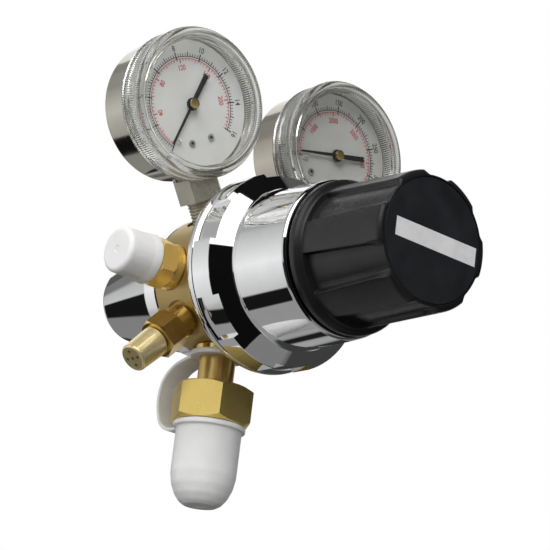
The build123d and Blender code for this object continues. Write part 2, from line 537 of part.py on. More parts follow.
def gauge_parts(name):
    F = GF[name]
    dist = GR[name]
    S = stem_frame(F)                # z towards the body
    low = dist                       # distance of the dial centre from the main axis
    made = {}

    with BuildPart() as case:
        lathe(F, [(0, -8.4), (27.8, -8.4), (CASE_R, -7.4), (CASE_R, 10.3), (27.5, 10.3),
                  (27.5, -6.6), (0, -6.6)], rounds=(((CASE_R, -7.4), 0.9),))
        cyl(S, 20, 32, 5.7, mode=Mode.SUBTRACT)
        for sx in (-1, 1):
            cyl(S, 25, 32, 1.35, x=sx * 8.6, y=0, mode=Mode.SUBTRACT)
            cyl(S, 27.35, 32, 2.3, x=sx * 8.6, y=0, mode=Mode.SUBTRACT)
        # blow-out hole in the back
        cyl(F, -9, -6, 3.0, y=14.0, mode=Mode.SUBTRACT)
    made["case"] = case

    with BuildPart() as window:
        prism(F, 7.6, 17.6, ring_pts(RIBS, 30.6, 31.0))
        lathe(F, [(0, 17.5), (31.2, 17.5), (WINDOW_R, 17.9), (WINDOW_R, 18.6), (30.6, 19.7),
                  (28.6, 20.5), (26.8, 20.5), (26.2, 19.6), (0, 19.6)],
              rounds=(((30.6, 19.7), 0.8),))
        cyl(F, 7, 10.4, 29.1, mode=Mode.SUBTRACT)
        cyl(F, 10.3, 17.0, 28.6, mode=Mode.SUBTRACT)
        cyl(F, 16.9, 18.2, 27.4, mode=Mode.SUBTRACT)
    made["window"] = window

    with BuildPart() as dial:
        cyl(F, 10.9, 11.5, 27.2)
        cyl(F, 11.4, 13.6, 0.45, x=-11.3, y=-12.6)      # stop pin
        cyl(F, 10, 12, 1.3, mode=Mode.SUBTRACT)
        for x, y in ((-5.0, -15.3), (5.0, -15.3)):
            cyl(F, 10, 12, 0.9, x=x, y=y, mode=Mode.SUBTRACT)
    made["dial"] = dial

    with BuildPart() as dial_screws:
        for x, y in ((-5.0, -15.3), (5.0, -15.3)):
            cyl(F, 11.5, 12.1, 1.45, x=x, y=y)
            cyl(F, 8.4, 11.5, 0.8, x=x, y=y)
            box(along(F, 0, x, y), -2, 2, -0.2, 0.2, 11.8, 12.3, Mode.SUBTRACT)
    made["dial_screws"] = dial_screws

    ZERO = 221.0                     # pointer direction at zero, from +x, degrees
    za = math.radians(ZERO)
    PF = frame(F.origin, F.x_dir * math.cos(za) + F.y_dir * math.sin(za), F.z_dir)
    with BuildPart() as pointer:
        prism(PF, 12.9, 13.5, [(-15.0, -1.2), (-8.2, -1.2), (-7.4, -0.6), (19.2, -0.46), (20.4, 0.0),
                               (19.2, 0.46), (-7.4, 0.6), (-8.2, 1.2), (-15.0, 1.2)])
        cyl(PF, 12.9, 13.5, 2.7)
        cyl(PF, 13.5, 14.3, 2.0)
        cyl(PF, 12.7, 14.0, 0.85, mode=Mode.SUBTRACT)
    made["pointer"] = pointer

    with BuildPart() as arbor:
        prism(F, 5.0, 7.2, gear_pts(PIN_T, PIN_R, SEC_MOD, 0.03, 15.0, 375.0, PIN_R - 0.52))
        cyl(F, 2.4, 13.9, 0.8)
    made["arbor"] = arbor

    with BuildPart() as socket:
        # threaded stub, turned with a zigzag profile
        z0, z1 = low - 36.6, low - 18.2
        pts = [(0, z0), (STUB_R, z0)]
        n = 13
        p = (z1 - z0 - 1.0) / n
        for i in range(n):
            a = z0 + 0.5 + p * i
            pts += [(STUB_R, a), (STUB_R - 0.55, a + p * 0.5)]
        pts += [(STUB_R - 0.1, z1 - 0.4), (STUB_R - 0.6, z1), (0, z1)]
        lathe(S, pts)
        # square shank under the case, neck, and the block inside
        q = 7.2
        c = 1.6
        prism(S, 29.35, low - 36.5, [(-q + c, -q), (q - c, -q), (q, -q + c), (q, q - c), (q - c, q),
                                     (-q + c, q), (-q, q - c), (-q, -q + c)])
        cyl(S, 24.7, 29.5, 5.6)
        box(S, -11.5, 11.5, -5.0, 3.0, 17.0, 24.8)
        cyl(S, 20.0, low - 17.0, 1.5, mode=Mode.SUBTRACT)
        for sx in (-1, 1):
            cyl(S, 19.0, 26.5, 1.2, x=sx * 8.6, y=0, mode=Mode.SUBTRACT)
    made["socket"] = socket

    with BuildPart() as case_screws:
        for sx in (-1, 1):
            cyl(S, 27.35, 29.1, 2.1, x=sx * 8.6, y=0)
            cyl(S, 20.0, 27.35, 1.1, x=sx * 8.6, y=0)
            box(along(S, 0, sx * 8.6, 0), -3, 3, -0.3, 0.3, 28.4, 29.5, Mode.SUBTRACT)
    made["case_screws"] = case_screws

    with BuildPart() as tube:
        # flattened C tube from the block round to its free end
        pl = Plane(origin=F.origin, x_dir=F.x_dir, z_dir=F.y_dir * -1)
        a = math.radians(-52.0)
        u = F.x_dir * math.cos(a) + F.y_dir * math.sin(a)
        v = F.z_dir
        with BuildSketch(Plane(origin=F.origin, x_dir=u, z_dir=u.cross(v)), mode=Mode.PRIVATE) as sk:
            with Locations((22.0, -1.2)):
                Ellipse(1.3, 2.8)
        revolve(sk.sketch, axis=Axis(F.origin, F.z_dir), revolution_arc=205.0)
    made["bourdon_tube"] = tube

    with BuildPart() as movement:
        for z in (3.05, 7.6):
            box(F, -11.0, 11.0, -23.5, 6.0, z, z + 0.8)
        for x, y in ((-9.5, 4.4), (9.5, 4.4), (-9.5, -21.8), (9.5, -21.8)):
            cyl(F, 3.8, 7.7, 1.2, x=x, y=y)
        cyl(F, 2, 9, 0.8 + FIT, mode=Mode.SUBTRACT)
        cyl(F, 2, 9, 0.8 + FIT, y=-(PIN_R + SEC_R), mode=Mode.SUBTRACT)
        for x, y in ((-5.0, -15.3), (5.0, -15.3)):
            cyl(F, 8.3, 10.9, 1.6, x=x, y=y)
            cyl(F, 8.0, 11, 0.8, x=x, y=y, mode=Mode.SUBTRACT)
    made["movement_frame"] = movement

    with BuildPart() as sector:
        SF = along(F, 0, 0, -(PIN_R + SEC_R))
        step = 360.0 / SEC_T
        half = 7                       # teeth each side of the middle
        # at zero the sector stands turned by half the swing
        mid = 90.0 - 135.0 / 7
        lo, hi = mid - (half + 0.5) * step, mid + (half + 0.5) * step
        g = gear_pts(SEC_T, SEC_R, SEC_MOD, 0.03, lo, hi, SEC_R - 0.52)
        t0 = math.radians(lo)
        t1 = math.radians(hi)
        prism(SF, 5.4, 6.6, [(2.2 * math.cos(t0 - 0.9), 2.2 * math.sin(t0 - 0.9))] + g +
              [((SEC_R - 0.52) * math.cos(t1), (SEC_R - 0.52) * math.sin(t1)),
               (2.2 * math.cos(t1 + 0.9), 2.2 * math.sin(t1 + 0.9))])
        cyl(SF, 4.2, 7.3, 2.4)
        cyl(SF, 3.1, 9.0, 0.8)
    made["sector"] = sector
    return made


# =============================================================== write
solids = {
    "body": body, "rear_cover": rear_cover, "preset_screw": preset_screw,
    "first_stage_spring": first_stage_spring, "first_stage_spring_seat": first_stage_spring_seat,
    "first_stage_diaphragm": first_stage_diaphragm, "first_stage_nozzle": first_stage_nozzle,
    "first_stage_poppet": first_stage_poppet, "first_stage_valve_spring": first_stage_valve_spring,
    "second_stage_nozzle": second_stage_nozzle, "second_stage_poppet": second_stage_poppet,
    "second_stage_valve_spring": second_stage_valve_spring, "diaphragm_plate": diaphragm_plate,
    "diaphragm": diaphragm, "slip_ring": slip_ring, "spring_plate": spring_plate,
    "main_spring": main_spring, "spring_button": spring_button,
    "adjusting_screw": adjusting_screw, "knob_screw": knob_screw, "bonnet": bonnet,
    "adjusting_knob": adjusting_knob, "knob_label": knob_label, "stem_washer": stem_washer,
    "inlet_stem": inlet_stem, "inlet_seal": inlet_seal, "inlet_filter": inlet_filter,
    "inlet_nut": inlet_nut, "inlet_cap": inlet_cap, "cap_tether": cap_tether,
    "outlet_washer": outlet_washer, "outlet_adapter": outlet_adapter, "outlet_cap": outlet_cap,
    "relief_base": relief_base, "relief_cap": relief_cap, "relief_poppet": relief_poppet,
    "relief_spring": relief_spring,
}
for g in GF:
    for k, v in gauge_parts(g).items():
        solids[g + "_" + k] = v

for name, part in solids.items():
    part.part.label = name
    export_step(part.part, "parts/" + name + ".step")
    print(name, round(part.part.volume, 1), len(part.part.solids()))
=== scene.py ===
import json
import math
import bpy
import bmesh
from mathutils import Matrix, Vector


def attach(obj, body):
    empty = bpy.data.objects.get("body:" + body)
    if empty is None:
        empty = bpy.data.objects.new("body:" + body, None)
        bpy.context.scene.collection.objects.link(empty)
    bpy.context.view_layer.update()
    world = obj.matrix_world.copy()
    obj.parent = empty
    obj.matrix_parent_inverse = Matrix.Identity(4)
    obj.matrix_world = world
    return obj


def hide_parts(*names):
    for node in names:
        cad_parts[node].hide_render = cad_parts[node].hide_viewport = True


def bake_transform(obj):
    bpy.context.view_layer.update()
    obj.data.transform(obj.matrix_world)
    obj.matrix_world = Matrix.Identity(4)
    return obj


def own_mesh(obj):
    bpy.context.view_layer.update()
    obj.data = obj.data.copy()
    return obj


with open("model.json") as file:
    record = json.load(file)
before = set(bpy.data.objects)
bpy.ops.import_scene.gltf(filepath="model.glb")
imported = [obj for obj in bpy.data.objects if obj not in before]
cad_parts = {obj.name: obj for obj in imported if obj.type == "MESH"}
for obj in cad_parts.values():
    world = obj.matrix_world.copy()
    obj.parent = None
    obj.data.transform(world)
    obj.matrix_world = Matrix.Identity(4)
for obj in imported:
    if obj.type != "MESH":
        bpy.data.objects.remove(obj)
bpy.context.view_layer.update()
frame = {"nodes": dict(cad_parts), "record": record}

nodes = frame["nodes"]
COL = bpy.context.scene.collection
MM = 0.001
H = 67.7                    # main axis above the origin, mm

# =============================================================== camera
s_px, dist = 2.408, 1200.0
az, el, roll = math.radians(-38.6), math.radians(-16.0), math.radians(6.9)
focal = s_px * dist
back = Vector((math.sin(az) * math.cos(el), -math.cos(az) * math.cos(el), math.sin(el)))
side = Vector((math.cos(az), math.sin(az), 0))
upv = back.cross(side)
cx = math.cos(roll) * side + math.sin(roll) * upv
cy = -math.sin(roll) * side + math.cos(roll) * upv
pos = back * dist - cx * ((227.2 - 275) / focal * dist) - cy * (-(284.6 - 275) / focal * dist)
pos.z += H
cam_data = bpy.data.cameras.new("cam")
cam = bpy.data.objects.new("cam", cam_data)
COL.objects.link(cam)
cam_data.sensor_width = 36
cam_data.lens = focal / 550 * 36
cam_data.clip_start = 0.01
cam_data.clip_end = 20
m = Matrix.Identity(4)
for i in range(3):
    m[i][0], m[i][1], m[i][2], m[i][3] = cx[i], cy[i], back[i], pos[i] * MM
cam.matrix_world = m
bpy.context.scene.camera = cam
bpy.context.scene.view_settings.view_transform = "Standard"


# =============================================================== node helpers
def new_mat(name):
    mt = bpy.data.materials.new(name)
    mt.use_nodes = True
    nt = mt.node_tree
    return mt, nt, nt.nodes["Principled BSDF"]


def nd(nt, kind, **inputs):
    n = nt.nodes.new(kind)
    for k, v in inputs.items():
        n.inputs[k].default_value = v
    return n


def coords(nt, scale=(1, 1, 1), rot=(0, 0, 0)):
    tc = nt.nodes.new("ShaderNodeTexCoord")
    mp = nt.nodes.new("ShaderNodeMapping")
    mp.inputs["Scale"].default_value = scale
    mp.inputs["Rotation"].default_value = rot
    nt.links.new(tc.outputs["Object"], mp.inputs["Vector"])
    return mp.outputs["Vector"]


def noise(nt, vec, scale, detail=3.0, rough=0.55):
    n = nt.nodes.new("ShaderNodeTexNoise")
    n.inputs["Scale"].default_value = scale
    n.inputs["Detail"].default_value = detail
    n.inputs["Roughness"].default_value = rough
    nt.links.new(vec, n.inputs["Vector"])
    return n.outputs["Fac"]


def ramp(nt, fac, stops):
    r = nt.nodes.new("ShaderNodeValToRGB")
    e = r.color_ramp.elements
    e[0].position, e[0].color = stops[0][0], (*stops[0][1], 1)
    e[1].position, e[1].color = stops[-1][0], (*stops[-1][1], 1)
    for p, c in stops[1:-1]:
        k = e.new(p)
        k.color = (*c, 1)
    nt.links.new(fac, r.inputs["Fac"])
    return r.outputs["Color"]


def span(nt, fac, a, b, c, d):
    n = nt.nodes.new("ShaderNodeMapRange")
    n.inputs["From Min"].default_value = a
    n.inputs["From Max"].default_value = b
    n.inputs["To Min"].default_value = c
    n.inputs["To Max"].default_value = d
    nt.links.new(fac, n.inputs["Value"])
    return n.outputs["Result"]


def math_n(nt, op, a, b=None, clamp=False):
    n = nt.nodes.new("ShaderNodeMath")
    n.operation = op
    n.use_clamp = clamp
    for i, v in enumerate((a, b)):
        if v is None:
            continue
        if isinstance(v, (int, float)):
            n.inputs[i].default_value = v
        else:
            nt.links.new(v, n.inputs[i])
    return n.outputs[0]


def bump(nt, height, strength, distance, shader, prev=None):
    b = nt.nodes.new("ShaderNodeBump")
    b.inputs["Strength"].default_value = strength
    b.inputs["Distance"].default_value = distance
    nt.links.new(height, b.inputs["Height"])
    if prev is not None:
        nt.links.new(prev, b.inputs["Normal"])
    nt.links.new(b.outputs["Normal"], shader.inputs["Normal"])
    return b.outputs["Normal"]


def metal(name, dark, light, rough, rvar, grain=1400.0, bstr=0.12, bdist=0.00002, blotch=55.0,
          turned=None, metallic=1.0, specks=None):
    """Metal with blotchy tone, uneven gloss and a fine surface; turned = axis of lathe marks."""
    mt, nt, p = new_mat(name)
    v = coords(nt)
    p.inputs["Metallic"].default_value = metallic
    big = noise(nt, v, blotch, 4.0)
    fine = noise(nt, v, grain, 2.0)
    col = ramp(nt, big, [(0.3, dark), (0.7, light)])
    nt.links.new(col, p.inputs["Base Color"])
    r1 = span(nt, noise(nt, v, blotch * 2.3, 5.0), 0.25, 0.75, rough - rvar, rough + rvar)
    if turned:
        axis, pitch = turned
        sc = [1, 1, 1]
        vv = coords(nt, scale=tuple(pitch if i == axis else 30.0 for i in range(3)))
        lines = noise(nt, vv, 1.0, 2.0)
        r2 = span(nt, lines, 0.3, 0.7, -0.05, 0.05)
        r1 = math_n(nt, "ADD", r1, r2, clamp=True)
        bump(nt, lines, bstr, bdist, p)
    else:
        bump(nt, fine, bstr, bdist, p)
    nt.links.new(r1, p.inputs["Roughness"])
    return mt


def plastic(name, dark, light, rough, rvar, grain=900.0, bstr=0.25, bdist=0.00004, spec=0.5,
            sub=0.0, trans=0.0, ior=1.5, blotch=70.0):
    mt, nt, p = new_mat(name)
    v = coords(nt)
    col = ramp(nt, noise(nt, v, blotch, 4.0), [(0.3, dark), (0.7, light)])
    nt.links.new(col, p.inputs["Base Color"])
    r = span(nt, noise(nt, v, blotch * 3, 4.0), 0.25, 0.75, rough - rvar, rough + rvar)
    nt.links.new(r, p.inputs["Roughness"])
    p.inputs["Specular IOR Level"].default_value = spec
    p.inputs["IOR"].default_value = ior
    if sub:
        p.inputs["Subsurface Weight"].default_value = sub
        p.inputs["Subsurface Radius"].default_value = (1.0, 1.0, 0.95)
        p.inputs["Subsurface Scale"].default_value = 0.004
    if trans:
        p.inputs["Transmission Weight"].default_value = trans
    bump(nt, noise(nt, v, grain, 3.0), bstr, bdist, p)
    return mt


# =============================================================== materials
BODY = metal("body_brass_look", (0.44, 0.315, 0.120), (0.53, 0.39, 0.16), 0.37, 0.05, grain=2600.0,
             bstr=0.35, bdist=0.00004, blotch=38.0, metallic=0.80)
FIT = metal("fitting_brass_look", (0.74, 0.53, 0.17), (0.84, 0.63, 0.24), 0.20, 0.05, blotch=60.0,
            grain=1500.0, bstr=0.2, metallic=0.95)
# pale brass of the relief cap: partly its own colour, partly painted highlight
RELIEF_BRASS_AND_SHEEN = metal("relief_cap_brass_and_painted_sheen_look", (0.84, 0.68, 0.34), (0.94, 0.79, 0.43), 0.25, 0.05,
               blotch=60.0, grain=2200.0, bstr=0.25, metallic=0.72)
FACET = metal("outlet_look", (0.74, 0.51, 0.145), (0.84, 0.60, 0.195), 0.30, 0.05, blotch=60.0,
              grain=1500.0, bstr=0.2, metallic=0.45)
SHANK = metal("inlet_stem_look", (0.62, 0.42, 0.13), (0.72, 0.51, 0.18), 0.30, 0.05, blotch=60.0,
              grain=1500.0, bstr=0.2, metallic=0.82)
NUT = metal("nut_look", (0.78, 0.58, 0.17), (0.88, 0.67, 0.22), 0.29, 0.05, blotch=45.0,
            grain=1800.0, bstr=0.25, metallic=0.80)
CHROME = metal("chrome_look", (0.86, 0.865, 0.875), (0.91, 0.912, 0.92), 0.028, 0.012, blotch=90.0,
               grain=700.0, bstr=0.012, bdist=0.00001)
STEEL = metal("steel_look", (0.48, 0.48, 0.47), (0.60, 0.60, 0.59), 0.32, 0.06, bstr=0.3)
SPRING = metal("spring_look", (0.30, 0.30, 0.31), (0.42, 0.42, 0.43), 0.30, 0.05, bstr=0.3)
CASE = metal("case_look", (0.565, 0.55, 0.475), (0.635, 0.62, 0.545), 0.10, 0.03, blotch=45.0,
             grain=1600.0, bstr=0.08)
# darker copy of the case for the contents gauge: painted shade
CASE_PAINTED_SHADE = metal("case_painted_shade_look", (0.475, 0.445, 0.375), (0.535, 0.505, 0.43), 0.10, 0.03, blotch=45.0,
              grain=1600.0, bstr=0.08)
STEM = metal("stem_nickel_look", (0.40, 0.385, 0.32), (0.52, 0.50, 0.43), 0.26, 0.06, blotch=80.0,
             bstr=0.3, metallic=0.5)
SCREW = metal("dial_screw_look", (0.36, 0.36, 0.35), (0.46, 0.46, 0.45), 0.34, 0.05, metallic=0.6)
MOVE = metal("movement_look", (0.62, 0.42, 0.14), (0.74, 0.52, 0.19), 0.26, 0.05)
HUBM = metal("hub_look", (0.42, 0.31, 0.13), (0.52, 0.40, 0.18), 0.25, 0.05)
TUBE = metal("tube_look", (0.48, 0.27, 0.14), (0.58, 0.34, 0.18), 0.30, 0.06)
SINTER = metal("sinter_look", (0.30, 0.19, 0.09), (0.50, 0.33, 0.17), 0.62, 0.1, grain=3200.0,
               bstr=0.8, bdist=0.0002, blotch=900.0)
BLACK = plastic("knob_look", (0.008, 0.008, 0.009), (0.013, 0.013, 0.014), 0.30, 0.06, grain=1700.0,
                bstr=0.18, bdist=0.00003, spec=0.42)
POINTER = plastic("pointer_look", (0.006, 0.006, 0.006), (0.012, 0.012, 0.012), 0.42, 0.05)
RUBBER = plastic("rubber_look", (0.012, 0.012, 0.012), (0.022, 0.022, 0.022), 0.6, 0.08)
PRINT_B = plastic("print_black_look", (0.012, 0.012, 0.014), (0.03, 0.03, 0.034), 0.55, 0.05)
PRINT_R = plastic("print_red_look", (0.42, 0.035, 0.05), (0.52, 0.06, 0.08), 0.55, 0.05)
CAPW = plastic("cap_look", (0.66, 0.655, 0.648), (0.73, 0.725, 0.718), 0.42, 0.06, grain=500.0,
               bstr=0.25, bdist=0.00006, sub=0.45, spec=0.45, blotch=60.0)
# lighter copies of the cap white for the outlet cap and the strap: painted light
CAPW_PAINTED_LIT = plastic("outlet_cap_painted_lit_look", (0.75, 0.745, 0.738), (0.82, 0.815, 0.808), 0.42, 0.06, grain=500.0,
                bstr=0.25, bdist=0.00006, sub=0.45, spec=0.45, blotch=60.0)
STRAP_PAINTED_LIT = plastic("strap_painted_lit_look", (0.72, 0.714, 0.70), (0.79, 0.784, 0.77), 0.42, 0.06, grain=500.0,
                 bstr=0.25, bdist=0.00006, sub=0.45, spec=0.45, blotch=60.0)
DIAL = plastic("dial_look", (0.56, 0.566, 0.552), (0.62, 0.626, 0.612), 0.45, 0.05, grain=1200.0,
               bstr=0.05)
# darker copy of the dial for the contents gauge: painted shade
DIAL_PAINTED_SHADE = plastic("dial_painted_shade_look", (0.475, 0.478, 0.465), (0.53, 0.534, 0.52), 0.45, 0.05, grain=1200.0,
                bstr=0.05)


def label_material():
    """Black knob face with a plain pale stripe across it."""
    mt, nt, p = new_mat("label_look")
    tc = nt.nodes.new("ShaderNodeTexCoord")
    sep = nt.nodes.new("ShaderNodeSeparateXYZ")
    nt.links.new(tc.outputs["Object"], sep.inputs[0])
    x, z = sep.outputs["X"], sep.outputs["Z"]
    z0 = math_n(nt, "SUBTRACT", z, H * MM)
    # edges of the stripe, straight lines in the plane of the face
    top = math_n(nt, "ADD", math_n(nt, "MULTIPLY", x, -0.0328), 0.00386)
    bot = math_n(nt, "ADD", math_n(nt, "MULTIPLY", x, -0.0335), -0.00365)
    ex = 0.00008

    def soft(v):
        return math_n(nt, "ADD", math_n(nt, "DIVIDE", v, ex), 0.5, clamp=True)
    mk = soft(math_n(nt, "SUBTRACT", top, z0))
    for e in (math_n(nt, "SUBTRACT", z0, bot), math_n(nt, "ADD", x, 0.0193),
              math_n(nt, "SUBTRACT", 0.0229, x)):
        mk = math_n(nt, "MULTIPLY", mk, soft(e))
    v = coords(nt)
    n1 = noise(nt, v, 90.0, 4.0)
    dark = ramp(nt, n1, [(0.3, (0.011, 0.0118, 0.014)), (0.7, (0.018, 0.019, 0.022))])
    pale = ramp(nt, noise(nt, v, 140.0, 5.0), [(0.3, (0.50, 0.50, 0.505)), (0.7, (0.60, 0.60, 0.605))])
    mx = nt.nodes.new("ShaderNodeMix")
    mx.data_type = "RGBA"
    nt.links.new(mk, mx.inputs["Factor"])
    nt.links.new(dark, mx.inputs[6])
    nt.links.new(pale, mx.inputs[7])
    nt.links.new(mx.outputs[2], p.inputs["Base Color"])
    nt.links.new(span(nt, noise(nt, v, 200.0, 4.0), 0.25, 0.75, 0.30, 0.42), p.inputs["Roughness"])
    bump(nt, noise(nt, v, 1500.0, 3.0), 0.15, 0.00003, p)
    return mt


LABEL = label_material()


def glass_material(name, tint, rough, through):
    """Clear plastic that lets soft light pass to what is behind it."""
    mt, nt, p = new_mat(name)
    v = coords(nt)
    col = ramp(nt, noise(nt, v, 40.0, 3.0), [(0.3, tint[0]), (0.7, tint[1])])
    nt.links.new(col, p.inputs["Base Color"])
    p.inputs["Transmission Weight"].default_value = 1.0
    p.inputs["IOR"].default_value = 1.49
    nt.links.new(span(nt, noise(nt, v, 120.0, 4.0), 0.25, 0.75, rough, rough + 0.02),
                 p.inputs["Roughness"])
    bump(nt, noise(nt, v, 300.0, 2.0), 0.01, 0.00002, p)
    out = nt.nodes["Material Output"]
    lp = nt.nodes.new("ShaderNodeLightPath")
    tr = nt.nodes.new("ShaderNodeBsdfTransparent")
    tr.inputs["Color"].default_value = (through, through, through, 1)
    mx = nt.nodes.new("ShaderNodeMixShader")
    nt.links.new(lp.outputs["Is Shadow Ray"], mx.inputs[0])
    nt.links.new(p.outputs[0], mx.inputs[1])
    nt.links.new(tr.outputs[0], mx.inputs[2])
    nt.links.new(mx.outputs[0], out.inputs["Surface"])
    return mt


PANE = glass_material("pane_look", ((0.95, 0.955, 0.945), (0.97, 0.972, 0.965)), 0.004, 0.95)
RING = glass_material("window_ring_look", ((0.90, 0.907, 0.872), (0.945, 0.951, 0.925)), 0.03, 0.56)
# darker tinted pane and ring for the contents gauge: painted shade
PANE_PAINTED_SHADE = glass_material("pane_painted_shade_look", ((0.81, 0.815, 0.80), (0.84, 0.844, 0.83)), 0.004, 0.9)
RING_PAINTED_SHADE = glass_material("window_ring_painted_shade_look", ((0.68, 0.685, 0.66), (0.76, 0.764, 0.74)), 0.03, 0.38)

LOOK = {
    "body_brass": BODY, "fitting_brass": FIT, "chrome": CHROME, "knob_black": BLACK,
    "label_print": LABEL, "steel": STEEL, "spring_steel": SPRING, "rubber": RUBBER,
    "sintered_bronze": SINTER, "cap_white": CAPW, "gauge_steel": CASE, "clear_window": RING,
    "dial_white": DIAL, "pointer_black": POINTER, "stem_nickel": STEM, "movement_brass": MOVE,
    "tube_bronze": TUBE,
}
slot_of = {s["node"]: s["material_slot"] for s in frame["record"]["subparts"]}
special = {"relief_cap": RELIEF_BRASS_AND_SHEEN, "inlet_nut": NUT, "delivery_gauge_dial_screws": SCREW,
           "contents_gauge_dial_screws": SCREW, "outlet_adapter": FACET, "inlet_stem": SHANK,
           "contents_gauge_dial": DIAL_PAINTED_SHADE, "contents_gauge_case": CASE_PAINTED_SHADE}
for name, ob in nodes.items():
    ob.data.materials.clear()
    ob.data.materials.append(special.get(name) or LOOK[slot_of[name]])


# =============================================================== mesh helpers
class Ax:
    """Right-handed frame in mm: x, y across, z along the axis."""

    def __init__(self, o, x, z):
        self.o, self.x, self.z = Vector(o), Vector(x).normalized(), Vector(z).normalized()
        self.y = self.z.cross(self.x)

    def p(self, x, y, z):
        return (self.o + self.x * x + self.y * y + self.z * z) * MM

    def off(self, x=0, y=0, z=0):
        return Ax(self.o + self.x * x + self.y * y + self.z * z, self.x, self.z)


MAIN = Ax((0, 0, H), (1, 0, 0), (0, -1, 0))
INLET = Ax((0, 0, H), (1, 0, 0), (0, 0, -1))
OUTLET = Ax((0, 2.0, H), (0, -1, 0), (-1, 0, 0))
Q = math.sqrt(0.5)
RELIEF = Ax((0, 0, H), (0, -1, 0), (-Q, 0, -Q))


def gauge_ax(deg, d, twist):
    a = math.radians(deg)
    e = Vector((math.sin(a), 0, math.cos(a)))
    n = Vector((0, -1, 0))
    t = n.cross(e)
    k = math.radians(twist)
    n2 = n * math.cos(k) + t * math.sin(k)
    return Ax((e.x * d, 0, H + e.z * d), e.cross(n2), n2)


GA = {"delivery": gauge_ax(-31.0, 75.8, 4.2), "contents": gauge_ax(31.0, 77.3, 1.1)}


def finish_mesh(name, bm, mat, body, sharp=32.0, repl=(), doubles=1e-7):
    bmesh.ops.remove_doubles(bm, verts=bm.verts, dist=doubles)
    bmesh.ops.dissolve_degenerate(bm, edges=bm.edges, dist=doubles)
    bmesh.ops.recalc_face_normals(bm, faces=bm.faces)
    lim = math.radians(sharp)
    for f in bm.faces:
        f.smooth = True
    for e in bm.edges:
        if len(e.link_faces) == 2 and e.calc_face_angle(0) > lim:
            e.smooth = False
    me = bpy.data.meshes.new(name)
    bm.to_mesh(me)
    bm.free()
    ob = bpy.data.objects.new(name, me)
    COL.objects.link(ob)
    me.materials.append(mat)
    if repl:
        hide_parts(*repl)
    if body:
        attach(ob, body)
    return ob


def rounded(pts, guard=0.12, step=14.0):
    """Profile corners (r, z[, fillet]) turned into points with arcs and guard loops."""
    out = []
    n = len(pts)
    for i, q in enumerate(pts):
        r, z = q[0], q[1]
        fil = q[2] if len(q) > 2 else 0.0
        if i == 0 or i == n - 1:
            out.append((r, z))
            continue
        P = Vector((r, z))
        A = Vector(pts[i - 1][:2]) - P
        B = Vector(pts[i + 1][:2]) - P
        la, lb = A.length, B.length
        if la < 1e-6 or lb < 1e-6:
            continue
        A, B = A / la, B / lb
        ang = A.angle(B)
        if fil > 0 and ang < math.radians(179):
            t = fil / math.tan(ang / 2)
            t = min(t, la * 0.48, lb * 0.48)
            rad = t * math.tan(ang / 2)
            ctr = P + (A + B).normalized() * (rad / math.sin(ang / 2))
            a0 = P + A * t - ctr
            b0 = P + B * t - ctr
            sweep = a0.angle(b0)
            k = max(2, int(math.ceil(math.degrees(sweep) / step)))
            sgn = 1 if a0.x * b0.y - a0.y * b0.x > 0 else -1
            g = min(guard, la * 0.2, lb * 0.2)
            out.append(tuple(P + A * (t + g)))
            for j in range(k + 1):
                th = sgn * sweep * j / k
                c, s = math.cos(th), math.sin(th)
                v = Vector((a0.x * c - a0.y * s, a0.x * s + a0.y * c)) + ctr
                out.append((v.x, v.y))
            out.append(tuple(P + B * (t + g)))
        else:
            out.append((r, z))
    return out


def lathe(name, ax, pts, mat, body, segs=128, closed=True, sharp=32.0, repl=(),
          rmap=None, stops=None, dmap=None):
    """Turned mesh. rmap(r, z, angle) may change a radius; stops = extra column angles."""
    prof = rounded(pts)
    cols = [2 * math.pi * i / segs for i in range(segs)]
    if stops:
        cols = sorted(set([round(c, 7) for c in cols] + [round(c % (2 * math.pi), 7) for c in stops]))
    bm = bmesh.new()
    rows = []
    for a in cols:
        row = []
        for (r, z) in prof:
            rr = rmap(r, z, a) if rmap else r
            zz = dmap(r, z, a) if dmap else z
            row.append(bm.verts.new(ax.p(rr * math.cos(a), rr * math.sin(a), zz)))
        rows.append(row)
    n, k = len(cols), len(prof)
    for i in range(n):
        a, b = rows[i], rows[(i + 1) % n]
        for j in range(k - 1 if not closed else k):
            j2 = (j + 1) % k
            v = [a[j], a[j2], b[j2], b[j]]
            if prof[j][0] < 1e-6 and prof[j2][0] < 1e-6:
                continue
            try:
                bm.faces.new(v)
            except ValueError:
                pass
    return finish_mesh(name, bm, mat, body, sharp, repl)


def tube_along(name, pts, rad, mat, body, seg=12, repl=(), frames=None, ends=True):
    """Round wire along many points, in metres."""
    bm = bmesh.new()
    n = len(pts)
    P = [Vector(p) for p in pts]
    t0 = (P[1] - P[0]).normalized()
    nrm = t0.orthogonal().normalized()
    rings = []
    for i in range(n):
        t = (P[min(i + 1, n - 1)] - P[max(i - 1, 0)]).normalized()
        nrm = (nrm - t * nrm.dot(t)).normalized()
        bn = t.cross(nrm)
        rings.append([bm.verts.new(P[i] + (nrm * math.cos(2 * math.pi * k / seg)
                                          + bn * math.sin(2 * math.pi * k / seg)) * rad)
                      for k in range(seg)])
    for i in range(n - 1):
        for k in range(seg):
            bm.faces.new([rings[i][k], rings[i][(k + 1) % seg], rings[i + 1][(k + 1) % seg],
                          rings[i + 1][k]])
    if ends:
        bm.faces.new(rings[0][::-1])
        bm.faces.new(rings[-1])
    return finish_mesh(name, bm, mat, body, 60.0, repl)


